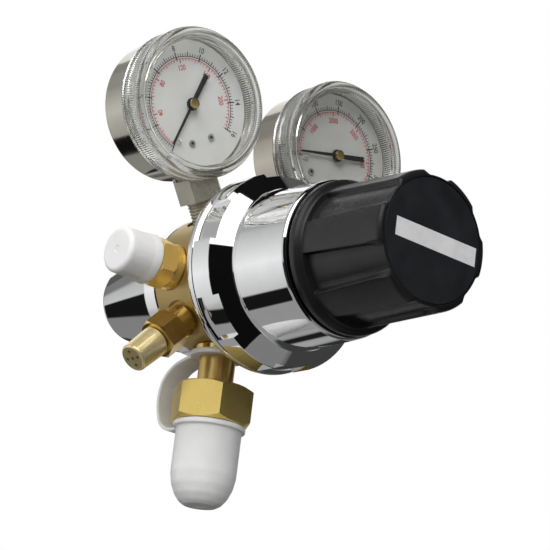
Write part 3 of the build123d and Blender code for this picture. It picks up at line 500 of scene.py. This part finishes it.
def spring(name, ax, z0, z1, rad, wire, turns, mat, body, repl, seg=10):
    """Compression spring with closed end turns."""
    a, b = z0 + wire * 1.02, z1 - wire * 1.02
    n = int((turns + 1.5) * 36)
    pts = []
    for i in range(n + 1):
        u = i / n
        t = u * (turns + 1.5)
        if t < 0.75:
            w = 0.0
        elif t > turns + 0.75:
            w = 1.0
        else:
            w = (t - 0.75) / turns
            w = w * w * (3 - 2 * w) * 0.25 + w * 0.75
        th = 2 * math.pi * t
        pts.append(ax.p(rad * math.cos(th), rad * math.sin(th), a + (b - a) * w))
    return tube_along(name, pts, wire * MM, mat, body, seg, repl)


# =============================================================== bonnet
NOTCH = [math.radians(42.3 + 60 * k) for k in range(6)]
HALF = math.radians(13.6)
EPS = 1e-5


def in_notch(a):
    for c in NOTCH:
        d = (a - c + math.pi) % (2 * math.pi) - math.pi
        if abs(d) < HALF:
            return True
    return False


ROOT_R, ROOT_Z = 3.0, 29.9      # fillet at the back of each notch


def bonnet_r(r, z, a):
    if z > 27.44 and r > 39.0 and in_notch(a):
        d = ROOT_Z - z
        up = ROOT_R - math.sqrt(max(ROOT_R ** 2 - d * d, 0.0)) if d > 0 else 0.0
        return min(r, 39.0 + up)
    return r


bon = [(34.75, 23.6), (39.9, 23.6, 0.2), (40.45, 24.15, 0.25), (40.75, 25.5, 4.0), (40.55, 26.85, 0.15),
       (40.3, 27.15),
       (40.3, 27.42), (40.3, 27.46), (40.45, 27.6), (40.8, 27.95),
       (40.8, 28.2), (40.8, 28.45), (40.8, 28.7), (40.8, 28.95), (40.8, 29.2), (40.8, 29.45), (40.8, 29.7),
       (40.8, 29.95), (40.8, 37.9, 0.55),
       (39.0, 39.4684, 0.3), (38.6, 39.80), (33.2, 44.2, 1.3), (32.2, 74.0, 1.7), (8.0, 74.0, 0.4),
       (8.0, 70.0), (26.0, 70.0), (26.0, 38.0), (34.75, 38.0)]
stops = []
for c in NOTCH:
    stops += [c - HALF - EPS, c - HALF + EPS, c + HALF - EPS, c + HALF + EPS]
bonnet = lathe("bonnet_shell", MAIN, bon, CHROME, "housing", segs=360, sharp=30.0,
               repl=("bonnet",), rmap=bonnet_r, stops=stops)

# =============================================================== rear cover
cov = [(25.0, -12.3), (28.0, -12.3, 0.15), (28.7, -13.0, 0.3), (28.7, -19.4, 0.3), (28.2, -19.9, 0.15),
       (26.8, -19.9), (26.8, -20.7), (27.3, -21.2, 0.4), (16.5, -64.0, 4.5), (12.2, -68.0, 2.4),
       (6.0, -68.0, 0.4), (6.0, -58.0), (13.0, -58.0), (13.0, -24.0), (20.0, -24.0),
       (20.0, -16.8), (25.0, -16.8)]
lathe("rear_cover_shell", MAIN, cov, CHROME, "housing", segs=256, sharp=30.0,
      repl=("rear_cover",))

# =============================================================== knob
def knob_mesh():
    """Six-fluted hand knob with rounded flute walls and a rounded front edge."""
    FR = 124.6

    def sm(t):
        t = min(max(t, 0.0), 1.0)
        return t * t * (3 - 2 * t)

    def lin(f, a, b):
        return a + (b - a) * (f - 81.2) / (FR - 81.2)

    back = [(0.0, 97.0), (6.4, 97.0), (6.4, 74.2), (12.0, 74.2), (12.0, 118.0), (22.6, 118.0),
            (22.6, 75.6), (30.5, 75.6), (30.8, 75.65), (31.15, 75.95), (31.3, 76.4), (31.3, 78.2),
            (31.2, 78.6), (30.9, 79.0), (30.4, 79.5), (29.9, 79.8), (29.3, 80.05), (28.9, 80.3),
            (28.6, 80.6)]
    fs = [80.75, 80.85, 80.95, 81.05, 81.15, 81.3, 81.6, 82.2, 84.0, 88.0, 94.0, 100.0, 106.0, 112.0,
          116.0, 118.0, 119.5, 120.5, 121.3, 121.8, 122.1]
    cols = []
    for k in range(6):
        for u in (-1, -0.8, -0.55, -0.3, -0.12):
            cols.append((k, "lobe", u))
        for w in range(-6, 7):
            cols.append((k, "wallA", w / 6.0))
        for u in (-0.6, -0.2, 0.2, 0.6):
            cols.append((k, "floor", u))
        for w in range(-6, 7):
            cols.append((k, "wallB", w / 6.0))
        for u in (0.12, 0.3, 0.55, 0.8):
            cols.append((k, "lobe", u))

    def place(c, f):
        """angle and radius of a column at a depth"""
        k, kind, u = c
        rl, rf = lin(f, 28.5, 27.85), lin(f, 26.37, 25.78)
        hw = 7.9 - 1.9 * (f - 81.2) / 45.8
        width = 0.95 + 1.9 * sm((f - 114.0) / 9.0)
        mid = math.asin(min(hw / rl, 1))
        half = width / 2 / rl
        depth = sm((f - 80.72) / 0.4)
        if kind == "floor":
            a, s_ = u * (mid - half), 0.0
        elif kind == "wallA":
            a, s_ = -(mid + u * -half) if False else -mid - half * -u, 0.5 - 0.5 * u
        elif kind == "wallB":
            a, s_ = mid + half * u, 0.5 + 0.5 * u
        else:
            sg = -1 if u < 0 else 1
            a = sg * (mid + half + (math.radians(30) - mid - half) * abs(u))
            s_ = 1.0
        r = rf + (rl - rf) * sm(s_)
        r = rl + (r - rl) * depth
        return math.radians(30 + 60 * k) + a, r

    bm = bmesh.new()
    grid = []
    for c in cols:
        row = []
        for (r, f) in back:
            a, _ = place(c, 80.75)
            row.append(bm.verts.new(MAIN.p(r * math.cos(a), r * math.sin(a), f)))
        for f in fs:
            a, r = place(c, f)
            row.append(bm.verts.new(MAIN.p(r * math.cos(a), r * math.sin(a), f)))
        a, r = place(c, 122.4)
        q = min(2.2, (r - 25.06) * 0.92)
        for n in range(8):
            p = math.radians(90 * n / 7.0)
            rr, ff = r - q + q * math.cos(p), FR - q + q * math.sin(p)
            row.append(bm.verts.new(MAIN.p(rr * math.cos(a), rr * math.sin(a), ff)))
        for (r, f) in ((25.02, FR), (25.0, FR - 0.05), (25.0, 123.9), (4.8, 123.9), (0.0, 123.9)):
            row.append(bm.verts.new(MAIN.p(r * math.cos(a), r * math.sin(a), f)))
        grid.append(row)
    for i in range(len(grid)):
        p, q = grid[i], grid[(i + 1) % len(grid)]
        for j in range(len(p) - 1):
            bm.faces.new([p[j], p[j + 1], q[j + 1], q[j]])
    return finish_mesh("knob_shell", bm, BLACK, "hand_knob", 38.0,
                       ("adjusting_knob",))


knob_mesh()

# =============================================================== white caps
cap = [(12.3, 60.4, 0.2), (14.6, 60.4, 0.25), (14.9, 60.75, 0.3), (14.9, 62.2, 0.4), (14.5, 62.55, 0.2),
       (13.75, 62.7, 0.3), (13.55, 63.3), (13.5, 81.5, 8.0), (12.65, 86.3, 7.0), (10.9, 90.4, 6.0),
       (8.8, 93.1, 4.0), (6.7, 94.4, 1.4), (2.4, 94.4, 0.2), (2.1, 94.1, 0.2), (0.0, 94.1),
       (0.0, 92.9), (6.2, 92.9, 0.8), (8.1, 91.4, 2.0), (9.7, 89.3, 2.0), (11.35, 85.5, 3.0),
       (12.2, 80.8, 3.0), (12.2, 61.8)]
lathe("inlet_cap_shell", INLET, cap, CAPW, "inlet_cap", segs=128, sharp=40.0,
      repl=("inlet_cap",))
ocap = [(9.05, 40.4, 0.15), (10.2, 40.4, 0.2), (10.5, 40.75, 0.25), (10.38, 42.6, 0.8),
        (10.0, 44.8, 2.0), (9.8, 50.6), (9.62, 56.6, 1.9), (1.6, 56.6, 0.2), (1.3, 56.4, 0.2),
        (0.0, 56.4), (0.0, 55.3), (8.3, 55.3, 0.8), (8.95, 53.4, 0.8), (9.0, 41.4)]
lathe("outlet_cap_shell", OUTLET, ocap, CAPW_PAINTED_LIT, "outlet_cap", segs=96, sharp=40.0,
      repl=("outlet_cap",))

# =============================================================== tether
STRAP = [(9.4, 31.15), (12.6, 31.5), (16.0, 32.4), (20.4, 34.1), (24.0, 36.8), (26.8, 40.6),
         (28.0, 45.4), (28.1, 49.4), (27.3, 53.6), (25.9, 57.2), (23.8, 59.7), (21.0, 61.2),
         (18.2, 61.7), (14.75, 61.6)]


def catmull(pts, n):
    out = []
    p = [pts[0]] + list(pts) + [pts[-1]]
    for i in range(1, len(p) - 2):
        for j in range(n):
            t = j / n
            out.append(tuple(0.5 * (2 * p[i][k] + (p[i + 1][k] - p[i - 1][k]) * t
                                    + (2 * p[i - 1][k] - 5 * p[i][k] + 4 * p[i + 1][k] - p[i + 2][k]) * t * t
                                    + (3 * p[i][k] - p[i - 1][k] - 3 * p[i + 1][k] + p[i + 2][k]) * t ** 3)
                             for k in range(2)))
    out.append(tuple(pts[-1]))
    return out


def strap_mesh():
    sd = math.radians(94.0)
    out = Vector((math.cos(sd), math.sin(sd), 0))
    across = Vector((-math.sin(sd), math.cos(sd), 0))
    W, T, R = 5.5, 0.7, 0.45
    sec = []
    for (sx, sy, a0) in ((1, 1, 0), (-1, 1, 90), (-1, -1, 180), (1, -1, 270)):
        for k in range(4):
            a = math.radians(a0 + 30 * k)
            sec.append((sx * (W - R) + R * math.cos(a), sy * (T - R) + R * math.sin(a)))
    line = catmull(STRAP, 6)
    bm = bmesh.new()
    rings = []
    for i, (x, y) in enumerate(line):
        a = line[max(i - 1, 0)]
        b = line[min(i + 1, len(line) - 1)]
        d = Vector((b[0] - a[0], b[1] - a[1])).normalized()
        nx, ny = -d.y, d.x
        base = Vector((0, 0, H)) + out * x - Vector((0, 0, y))
        nn = out * nx - Vector((0, 0, ny))
        rings.append([bm.verts.new((base + across * u + nn * v) * MM) for u, v in sec])
    k = len(sec)
    for i in range(len(rings) - 1):
        for j in range(k):
            bm.faces.new([rings[i][j], rings[i][(j + 1) % k], rings[i + 1][(j + 1) % k],
                          rings[i + 1][j]])
    bm.faces.new(rings[0][::-1])
    bm.faces.new(rings[-1])
    return finish_mesh("tether_strap", bm, STRAP_PAINTED_LIT, None, 50.0, ("cap_tether",))


strap = strap_mesh()
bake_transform(strap)
lathe("tether_ring", INLET, [(7.56, 30.1, 0.2), (11.3, 30.1, 0.2), (11.6, 30.45, 0.3),
                             (11.6, 31.85, 0.3), (11.3, 32.2, 0.2), (7.56, 32.2, 0.2)],
      CAPW, "housing", segs=96, sharp=40.0, repl=("cap_tether",))

# =============================================================== diaphragms
# the middle travels with its plates, the clamped rim keeps still, and the rolled
# convolution between them hides the sliding edge
lathe("diaphragm_centre", MAIN, [(0.0, 36.03), (21.8, 36.03, 0.2), (21.8, 36.77, 0.2), (0.0, 36.77)],
      RUBBER, "diaphragm_set", segs=96, sharp=40.0, repl=("diaphragm",))
lathe("diaphragm_rim", MAIN,
      [(34.15, 36.03), (34.15, 36.77), (25.2, 36.77), (25.2, 37.7, 0.6), (24.4, 38.5, 0.7),
       (22.8, 38.5, 0.7), (22.0, 37.7, 0.6), (22.0, 35.3), (22.7, 35.3), (22.7, 37.4, 0.3),
       (23.1, 37.8, 0.3), (24.1, 37.8, 0.3), (24.5, 37.4, 0.3), (24.5, 36.03)],
      RUBBER, "housing", segs=96, sharp=40.0, repl=("diaphragm",))
lathe("first_diaphragm_centre", MAIN,
      [(0.0, -16.03), (13.0, -16.03, 0.2), (13.0, -16.77, 0.2), (0.0, -16.77)],
      RUBBER, "first_seat", segs=96, sharp=40.0, repl=("first_stage_diaphragm",))
lathe("first_diaphragm_rim", MAIN,
      [(24.55, -16.03), (24.55, -16.77), (17.3, -16.77), (17.3, -17.6, 0.5), (16.6, -18.3, 0.6),
       (14.0, -18.3, 0.6), (13.2, -17.6, 0.5), (13.2, -15.5), (13.9, -15.5), (13.9, -17.3, 0.3),
       (14.3, -17.65, 0.3), (16.2, -17.65, 0.3), (16.6, -17.2, 0.3), (16.6, -16.03)],
      RUBBER, "housing", segs=96, sharp=40.0, repl=("first_stage_diaphragm",))

# =============================================================== springs
ms = spring("main_spring_coil", MAIN, 39.5, 64.0, 12.9, 1.28, 4.5, SPRING, "housing", ("main_spring",))
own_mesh(ms)
fs = spring("first_stage_spring_coil", MAIN, -54, -20, 9.6, 1.22, 6, SPRING, "housing",
            ("first_stage_spring",))
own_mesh(fs)
v1 = spring("first_valve_spring_coil", MAIN, 1.6, 9.0, 3.0, 0.39, 4, SPRING, "housing",
            ("first_stage_valve_spring",), seg=8)
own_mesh(v1)
v2 = spring("second_valve_spring_coil", MAIN, 15.0, 18.5, 2.8, 0.34, 2.0, SPRING, "housing",
            ("second_stage_valve_spring",), seg=8)
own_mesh(v2)
rs = spring("relief_spring_coil", RELIEF, 33.5, 58.9, 2.5, 0.39, 8, SPRING, "housing",
            ("relief_spring",), seg=8)
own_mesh(rs)

# =============================================================== gauges
RIBS = 200


def window_ring(g, ax):
    """Moulded clear lens ring: ribbed skirt and rounded front bead; the thin pane is a separate piece."""
    cols = RIBS * 6
    prof_o = [(31.0, 7.6), (31.05, 7.75), (31.05, 16.6), (31.2, 17.2), (31.42, 17.6),
              (31.5, 18.0), (31.5, 18.6), (31.38, 19.1), (31.05, 19.6), (30.55, 20.0),
              (29.9, 20.35), (29.3, 20.48), (28.8, 20.42), (28.45, 20.2), (28.3, 19.9),
              (28.2, 19.7), (27.95, 19.68), (27.8, 19.85), (27.65, 20.1), (27.3, 20.22),
              (26.85, 20.15), (26.55, 19.9), (26.4, 19.65), (26.2, 19.6)]
    prof_i = [(26.2, 18.2), (27.4, 18.2), (27.4, 16.95), (28.6, 16.95), (28.6, 10.4),
              (29.1, 10.35), (29.1, 7.6)]
    bm = bmesh.new()
    rows = []
    for i in range(cols):
        a = 2 * math.pi * i / cols
        c, s = math.cos(a), math.sin(a)
        # rounded ribs
        w = (0.0, 0.18, 0.36, 0.42, 0.36, 0.18)[i % 6]
        row = []
        for (r, z) in prof_o:
            rr = r - (0.44 - w) if z < 16.9 and r > 30.9 else r
            if z < 7.7:
                rr = r - 0.45
            row.append(bm.verts.new(ax.p(rr * c, rr * s, z)))
        for (r, z) in prof_i:
            row.append(bm.verts.new(ax.p(r * c, r * s, z)))
        rows.append(row)
    k = len(rows[0])
    for i in range(cols):
        a, b = rows[i], rows[(i + 1) % cols]
        for j in range(k):
            bm.faces.new([a[j], a[(j + 1) % k], b[(j + 1) % k], b[j]])
    return finish_mesh(g + "_window_ring", bm, RING if g == "delivery" else RING_PAINTED_SHADE, "housing", 35.0,
                       (g + "_gauge_window",))


def flat_ring(bm, ax, r0, r1, z, a0, a1, thick=0.03, n=None):
    n = n or max(2, int(abs(a1 - a0) / 1.5))
    lo, up = [], []
    for i in range(n + 1):
        a = math.radians(a0 + (a1 - a0) * i / n)
        c, s = math.cos(a), math.sin(a)
        lo.append([bm.verts.new(ax.p(r * c, r * s, z)) for r in (r0, r1)])
        up.append([bm.verts.new(ax.p(r * c, r * s, z + thick)) for r in (r0, r1)])
    for i in range(n):
        bm.faces.new([up[i][0], up[i][1], up[i + 1][1], up[i + 1][0]])
        bm.faces.new([lo[i][0], lo[i + 1][0], lo[i + 1][1], lo[i][1]])
        bm.faces.new([lo[i][1], lo[i + 1][1], up[i + 1][1], up[i][1]])
        bm.faces.new([lo[i][0], up[i][0], up[i + 1][0], lo[i + 1][0]])
    bm.faces.new([lo[0][0], lo[0][1], up[0][1], up[0][0]])
    bm.faces.new([lo[n][0], up[n][0], up[n][1], lo[n][1]])


def tick(bm, ax, r0, r1, ang, width, z, thick=0.03):
    a = math.radians(ang)
    c, s = math.cos(a), math.sin(a)
    h = width / 2
    q = [(r0 * c - h * s, r0 * s + h * c), (r0 * c + h * s, r0 * s - h * c),
         (r1 * c + h * s, r1 * s - h * c), (r1 * c - h * s, r1 * s + h * c)]
    lo = [bm.verts.new(ax.p(x, y, z)) for x, y in q]
    up = [bm.verts.new(ax.p(x, y, z + thick)) for x, y in q]
    bm.faces.new(up)
    bm.faces.new(lo[::-1])
    for i in range(4):
        bm.faces.new([lo[i], lo[(i + 1) % 4], up[(i + 1) % 4], up[i]])


def numbers(name, ax, items, size, mat, z):
    """Plain digits set round the dial, upright along the radius."""
    bm = bmesh.new()
    for text, ang, r in items:
        cu = bpy.data.curves.new(name + "_t", "FONT")
        cu.body = text
        cu.size = size * MM
        cu.align_x = "CENTER"
        cu.align_y = "CENTER"
        cu.extrude = 0.00002
        cu.resolution_u = 4
        cu.offset = 0.00004
        ob = bpy.data.objects.new(name + "_t", cu)
        COL.objects.link(ob)
        bpy.context.view_layer.update()
        me = bpy.data.meshes.new_from_object(ob.evaluated_get(bpy.context.evaluated_depsgraph_get()))
        a = math.radians(ang)
        rad = ax.x * math.cos(a) + ax.y * math.sin(a)       # outward
        rt = rad.cross(ax.z) * 1.0                          # reading direction
        o = ax.p(r * math.cos(a), r * math.sin(a), z)
        mt = Matrix.Identity(4)
        for i in range(3):
            mt[i][0], mt[i][1], mt[i][2], mt[i][3] = rt[i] * 0.82, rad[i], ax.z[i], o[i]
        me.transform(mt)
        bm.from_mesh(me)
        bpy.data.objects.remove(ob)
        bpy.data.curves.remove(cu)
        bpy.data.meshes.remove(me)
    return finish_mesh(name, bm, mat, "housing", 30.0, (), doubles=1e-8)


def needle(g, ax):
    """Flat black pointer with a straight counterweight tail and a round hub."""
    a = math.radians(221.0)
    u = ax.x * math.cos(a) + ax.y * math.sin(a)
    px = Ax(ax.o, u, ax.z)
    plan = [(-14.8, -1.15), (-14.8, 1.15), (-3.0, 1.0), (0.0, 0.6),
            (19.0, 0.45), (19.9, 0.33), (20.3, 0.0), (19.9, -0.33), (19.0, -0.45), (0.0, -0.6),
            (-3.0, -1.0)]
    bm = bmesh.new()
    lo = [bm.verts.new(px.p(x, y, 12.92)) for x, y in plan]
    up = [bm.verts.new(px.p(x * 0.998, y * 0.94, 13.38)) for x, y in plan]
    bm.faces.new(up[::-1])
    bm.faces.new(lo)
    k = len(plan)
    for i in range(k):
        bm.faces.new([lo[i], lo[(i + 1) % k], up[(i + 1) % k], up[i]])
    bmesh.ops.triangulate(bm, faces=[f for f in bm.faces if len(f.verts) > 4])
    finish_mesh(g + "_needle", bm, POINTER, g + "_pointer", 30.0,
                (g + "_gauge_pointer",))
    lathe(g + "_needle_hub", px, [(0.9, 12.9), (2.7, 12.9, 0.05), (2.7, 13.45, 0.1), (2.05, 13.5),
                                  (2.0, 14.28, 0.1), (0.9, 14.3)], POINTER, g + "_pointer", segs=64,
          repl=(g + "_gauge_pointer",))


def dial_bits(g, ax):
    """Round moulded pip by the zero stop, and a dark disc on each dial screw, painted shade for its drive
    recess.
    """
    lathe(g + "_dial_pip", ax.off(x=-11.3, y=-12.6), [(0.5, 11.52), (1.75, 11.52), (1.75, 11.75, 0.1),
                                                      (1.35, 12.2, 0.15), (0.75, 12.3, 0.1), (0.5, 12.1)],
          DIAL if g == "delivery" else DIAL_PAINTED_SHADE, "housing", segs=40)
    # dark discs: painted shade in the screw drive recesses
    for i, x in enumerate((-5.0, 5.0)):
        lathe(g + "_dial_screw_recess_%d" % i, ax.off(x=x, y=-15.3),
              [(0.0, 11.9), (0.68, 11.9), (0.68, 12.13), (0.0, 12.13)], RUBBER, "housing", segs=32,
              closed=False)


def dial_print(g, ax, outer, o_step, inner, i_step):
    z = 11.52
    START = 225.0
    bm = bmesh.new()
    flat_ring(bm, ax, 20.0, 20.32, z, -45, 225)
    n = len(outer) - 1
    for i in range(n * 10 + 1):
        ang = START - i * o_step / 10
        if i % 10 == 0:
            tick(bm, ax, 18.9, 22.3, ang, 0.55, z)
        elif i % 5 == 0:
            tick(bm, ax, 20.2, 22.1, ang, 0.42, z)
        else:
            tick(bm, ax, 20.2, 21.5, ang, 0.32, z)
    finish_mesh(g + "_scale_black", bm, PRINT_B, "housing", 30.0)
    bm = bmesh.new()
    flat_ring(bm, ax, 19.15, 19.42, z, -45, 225)
    k = 0
    while True:
        ang = START - k * i_step / 10
        if ang < -45.01:
            break
        if k % 10 == 0:
            tick(bm, ax, 17.4, 19.3, ang, 0.5, z)
        elif k % 5 == 0:
            tick(bm, ax, 17.8, 19.3, ang, 0.38, z)
        else:
            tick(bm, ax, 18.2, 19.3, ang, 0.3, z)
        k += 1
    finish_mesh(g + "_scale_red", bm, PRINT_R, "housing", 30.0)
    numbers(g + "_numbers_black", ax, [(t, START - i * o_step, 23.9) for i, t in enumerate(outer)],
            3.5, PRINT_B, z + 0.02)
    numbers(g + "_numbers_red", ax, [(t, START - i * i_step, 15.5) for i, t in enumerate(inner)],
            3.2, PRINT_R, z + 0.02)


for g, ax in GA.items():
    window_ring(g, ax)
    pane = lathe(g + "_window_pane", ax, [(0.0, 18.2), (26.2, 18.2), (26.2, 19.6), (0.0, 19.6)],
                 PANE if g == "delivery" else PANE_PAINTED_SHADE, "housing", segs=96, closed=False,
                 repl=(g + "_gauge_window",))
    pane.visible_shadow = False
    needle(g, ax)
    dial_bits(g, ax)
    # brass boss pressed on the pointer
    lathe(g + "_pointer_boss", ax, [(0.0, 14.05), (0.85, 14.05), (0.85, 14.32), (2.15, 14.32, 0.1),
                                    (2.15, 15.3, 0.3), (1.0, 15.65, 0.1), (0.0, 15.65)], HUBM,
          g + "_pointer", segs=48, closed=False)
    if g == "delivery":
        dial_print(g, ax, [str(2 * i) for i in range(9)], 33.75,
                   [str(40 * i) for i in range(6)], 46.55)
    else:
        dial_print(g, ax, [str(50 * i) for i in range(9)], 33.75,
                   [str(1000 * i) for i in range(6)], 46.55)

# =============================================================== studio
bm = bmesh.new()
bmesh.ops.create_grid(bm, x_segments=1, y_segments=1, size=3.0)
floor_me = bpy.data.meshes.new("studio_floor")
bm.to_mesh(floor_me)
bm.free()
floor = bpy.data.objects.new("studio_floor", floor_me)
COL.objects.link(floor)
floor.location = (0, 0, -0.36)
fm, fnt, fp = new_mat("studio_floor_look")
fv = coords(fnt)
fnt.links.new(ramp(fnt, noise(fnt, fv, 3.0, 3.0), [(0.3, (0.80, 0.80, 0.80)), (0.7, (0.83, 0.83, 0.83))]),
              fp.inputs["Base Color"])
fp.inputs["Roughness"].default_value = 0.8
floor_me.materials.append(fm)
floor.visible_glossy = False
floor.visible_diffuse = False


def studio_world():
    """White surroundings to look at, soft light, and large cards and black flags for the gloss."""
    w = bpy.data.worlds.new("studio")
    bpy.context.scene.world = w
    w.use_nodes = True
    nt = w.node_tree
    for n in list(nt.nodes):
        nt.nodes.remove(n)
    L = nt.links
    tc = nt.nodes.new("ShaderNodeTexCoord")
    sep = nt.nodes.new("ShaderNodeSeparateXYZ")
    L.new(tc.outputs["Generated"], sep.inputs[0])
    X, Y, Z = sep.outputs
    # azimuth from the front (-Y) towards +X, and elevation, in degrees
    azn = nt.nodes.new("ShaderNodeMath")
    azn.operation = "ARCTAN2"
    L.new(X, azn.inputs[0])
    L.new(math_n(nt, "MULTIPLY", Y, -1.0), azn.inputs[1])
    A = math_n(nt, "MULTIPLY", azn.outputs[0], 57.29578)
    E = math_n(nt, "MULTIPLY", math_n(nt, "ARCSINE", Z), 57.29578)

    def edge(v, at, soft, rising=True):
        d = math_n(nt, "SUBTRACT", v, at) if rising else math_n(nt, "SUBTRACT", at, v)
        return math_n(nt, "ADD", math_n(nt, "DIVIDE", d, soft), 0.5, clamp=True)

    def card(a0, a1, e0, e1, soft=1.5, slant=0.0):
        """Rectangle in azimuth and elevation; slant tilts its e limits with azimuth."""
        ev = E
        if slant:
            ev = math_n(nt, "SUBTRACT", E, math_n(nt, "MULTIPLY", math_n(nt, "SUBTRACT", A, a0), slant))
        mk = math_n(nt, "MULTIPLY", edge(A, a0, soft), edge(A, a1, soft, False))
        mk = math_n(nt, "MULTIPLY", mk, edge(ev, e0, soft))
        return math_n(nt, "MULTIPLY", mk, edge(ev, e1, soft, False))

    val = None

    def paint(mask, level):
        nonlocal val
        if val is None:
            val = level
            return
        # val = val*(1-mask) + level*mask
        keep = math_n(nt, "SUBTRACT", 1.0, mask)
        val = math_n(nt, "ADD", math_n(nt, "MULTIPLY", keep, val),
                     math_n(nt, "MULTIPLY", mask, level))

    def under(line):
        """1 below a line of elevation"""
        return math_n(nt, "ADD", math_n(nt, "DIVIDE", math_n(nt, "SUBTRACT", line, E), 1.4), 0.5,
                      clamp=True)

    def slope(at, a0, k):
        """elevation at + k * (A - a0)"""
        return math_n(nt, "ADD", math_n(nt, "MULTIPLY", math_n(nt, "SUBTRACT", A, a0), k), at)

    paint(None, 0.012)
    # pale wall at the back left, brightest at the height of the object
    fall = math_n(nt, "MULTIPLY", math_n(nt, "ABSOLUTE", math_n(nt, "ADD", E, 3.0)), 0.0125)
    wall = math_n(nt, "SUBTRACT", 0.90, math_n(nt, "MINIMUM", fall, 0.45))
    paint(card(-200, -104, -60, 80, 3.0), wall)
    paint(card(-200, -148.5, -60, 80, 3.0), math_n(nt, "MULTIPLY", wall, 0.77))
    paint(card(-200, -145.5, 20, 80, 3.0), 0.40)
    paint(card(-200, -165.5, -60, 80, 3.0), math_n(nt, "MULTIPLY", wall, 0.70))
    paint(card(160, 200, -60, 80, 3.0), math_n(nt, "MULTIPLY", wall, 0.50))
    paint(card(137, 184, 27, 70, 3.0), 1.05)           # bright panel high at the back
    paint(card(137, 166, 17, 30, 3.0), 1.0)
    paint(card(163, 188, 12, 27, 3.0), 0.10)
    paint(card(-200, -171.5, 12, 27, 2.0), 0.20)
    paint(card(137, 152, -24, 20, 4.0), 0.035)
    paint(card(-200, 200, -90, -37.5, 3.0), 0.30)      # pale table below
    paint(card(149, 187, -38, -7, 3.0), 0.225)
    paint(card(-200, -172, -38, -9, 3.0), 0.225)
    paint(card(149, 187, -38, -22, 3.0), 0.34)
    paint(card(137, 150, -24, -8, 3.0), 0.36)
    paint(card(60, 112, 30, 66, 8.0), 0.10)
    paint(card(12, 62, -90, -30, 2.0), 0.21)
    paint(card(62, 135, -62, 10, 6.0), 0.050)
    paint(card(-46, 12, -90, 17.5, 1.2), 0.004)        # black flag in front
    paint(card(-100, -46, -44, 17.5, 1.2), 0.03)
    paint(card(-100, -70, -12, 17.5, 3.0), 0.65)
    paint(card(-86, -10, 17.5, 64.5, 1.2), 1.9)        # key softbox
    paint(card(-200, 200, 65.0, 84.0, 1.5), 0.006)     # black above
    paint(card(-200, 200, 84.0, 90.1, 1.5), 0.9)
    paint(card(20, 60, -10, 40, 4.0), 0.0)
    paint(card(108, 134, -20, 48, 3.0), 0.55)
    # dark gap between wall and table, seen as the black band
    gap = math_n(nt, "MULTIPLY", edge(E, 2.0, 1.2, False),
                 under(math_n(nt, "MAXIMUM", slope(5.5, -169.5, -2.9), -30.3)))
    gap = math_n(nt, "MULTIPLY", gap, math_n(nt, "SUBTRACT", 1.0, under(slope(-32.2, -180.0, -0.36))))
    left_edge = math_n(nt, "ADD", math_n(nt, "MULTIPLY", math_n(nt, "ADD", E, 11.0), 0.12), -177.0)
    gap = math_n(nt, "MULTIPLY", gap,
                 math_n(nt, "ADD", math_n(nt, "DIVIDE", math_n(nt, "SUBTRACT", A, left_edge), 1.4), 0.5,
                        clamp=True))
    gap = math_n(nt, "MULTIPLY", gap, edge(A, -138.0, 2.0, False))
    paint(gap, 0.008)
    bg = nt.nodes.new("ShaderNodeBackground")
    bg.inputs["Color"].default_value = (1, 1, 1, 1)
    L.new(val, bg.inputs["Strength"])
    # soft light for everything that isn't glossy
    soft_bg = nt.nodes.new("ShaderNodeBackground")
    soft_bg.inputs["Color"].default_value = (1, 1, 1, 1)
    up = math_n(nt, "ADD", math_n(nt, "MULTIPLY", Z, 0.40), 0.58)
    left = math_n(nt, "MULTIPLY", X, -0.48)
    front = math_n(nt, "MULTIPLY", Y, -0.22)
    L.new(math_n(nt, "ADD", math_n(nt, "ADD", up, left), front), soft_bg.inputs["Strength"])
    white = nt.nodes.new("ShaderNodeBackground")
    white.inputs["Color"].default_value = (1, 1, 1, 1)
    clear = nt.nodes.new("ShaderNodeBackground")
    clear.inputs["Color"].default_value = (1, 1, 0.985, 1)
    bend = math_n(nt, "ADD", math_n(nt, "MULTIPLY", Y, 0.25), 0.66)
    bend = math_n(nt, "ADD", bend, math_n(nt, "MULTIPLY", X, -0.10))
    L.new(math_n(nt, "ADD", bend, math_n(nt, "MULTIPLY", Z, -0.58)), clear.inputs["Strength"])
    white.inputs["Strength"].default_value = 1.0
    lp = nt.nodes.new("ShaderNodeLightPath")
    m1 = nt.nodes.new("ShaderNodeMixShader")
    L.new(lp.outputs["Is Glossy Ray"], m1.inputs[0])
    L.new(soft_bg.outputs[0], m1.inputs[1])
    L.new(bg.outputs[0], m1.inputs[2])
    m3 = nt.nodes.new("ShaderNodeMixShader")
    L.new(lp.outputs["Is Transmission Ray"], m3.inputs[0])
    L.new(m1.outputs[0], m3.inputs[1])
    L.new(clear.outputs[0], m3.inputs[2])
    m2 = nt.nodes.new("ShaderNodeMixShader")
    L.new(lp.outputs["Is Camera Ray"], m2.inputs[0])
    L.new(m3.outputs[0], m2.inputs[1])
    L.new(white.outputs[0], m2.inputs[2])
    out = nt.nodes.new("ShaderNodeOutputWorld")
    L.new(m2.outputs[0], out.inputs["Surface"])


studio_world()


def area(name, loc, target, size, power, color=(1, 1, 1), glossy=False):
    li = bpy.data.lights.new(name, "AREA")
    li.shape = "RECTANGLE"
    li.size, li.size_y = size
    li.energy = power
    li.color = color
    ob = bpy.data.objects.new(name, li)
    COL.objects.link(ob)
    ob.location = loc
    d = Vector(target) - Vector(loc)
    ob.rotation_euler = d.to_track_quat("-Z", "Y").to_euler()
    ob.visible_glossy = glossy
    ob.visible_camera = False
    return ob


area("key", (-0.75, -0.75, 0.85), (0, 0, 0.08), (0.7, 0.7), 9.0)
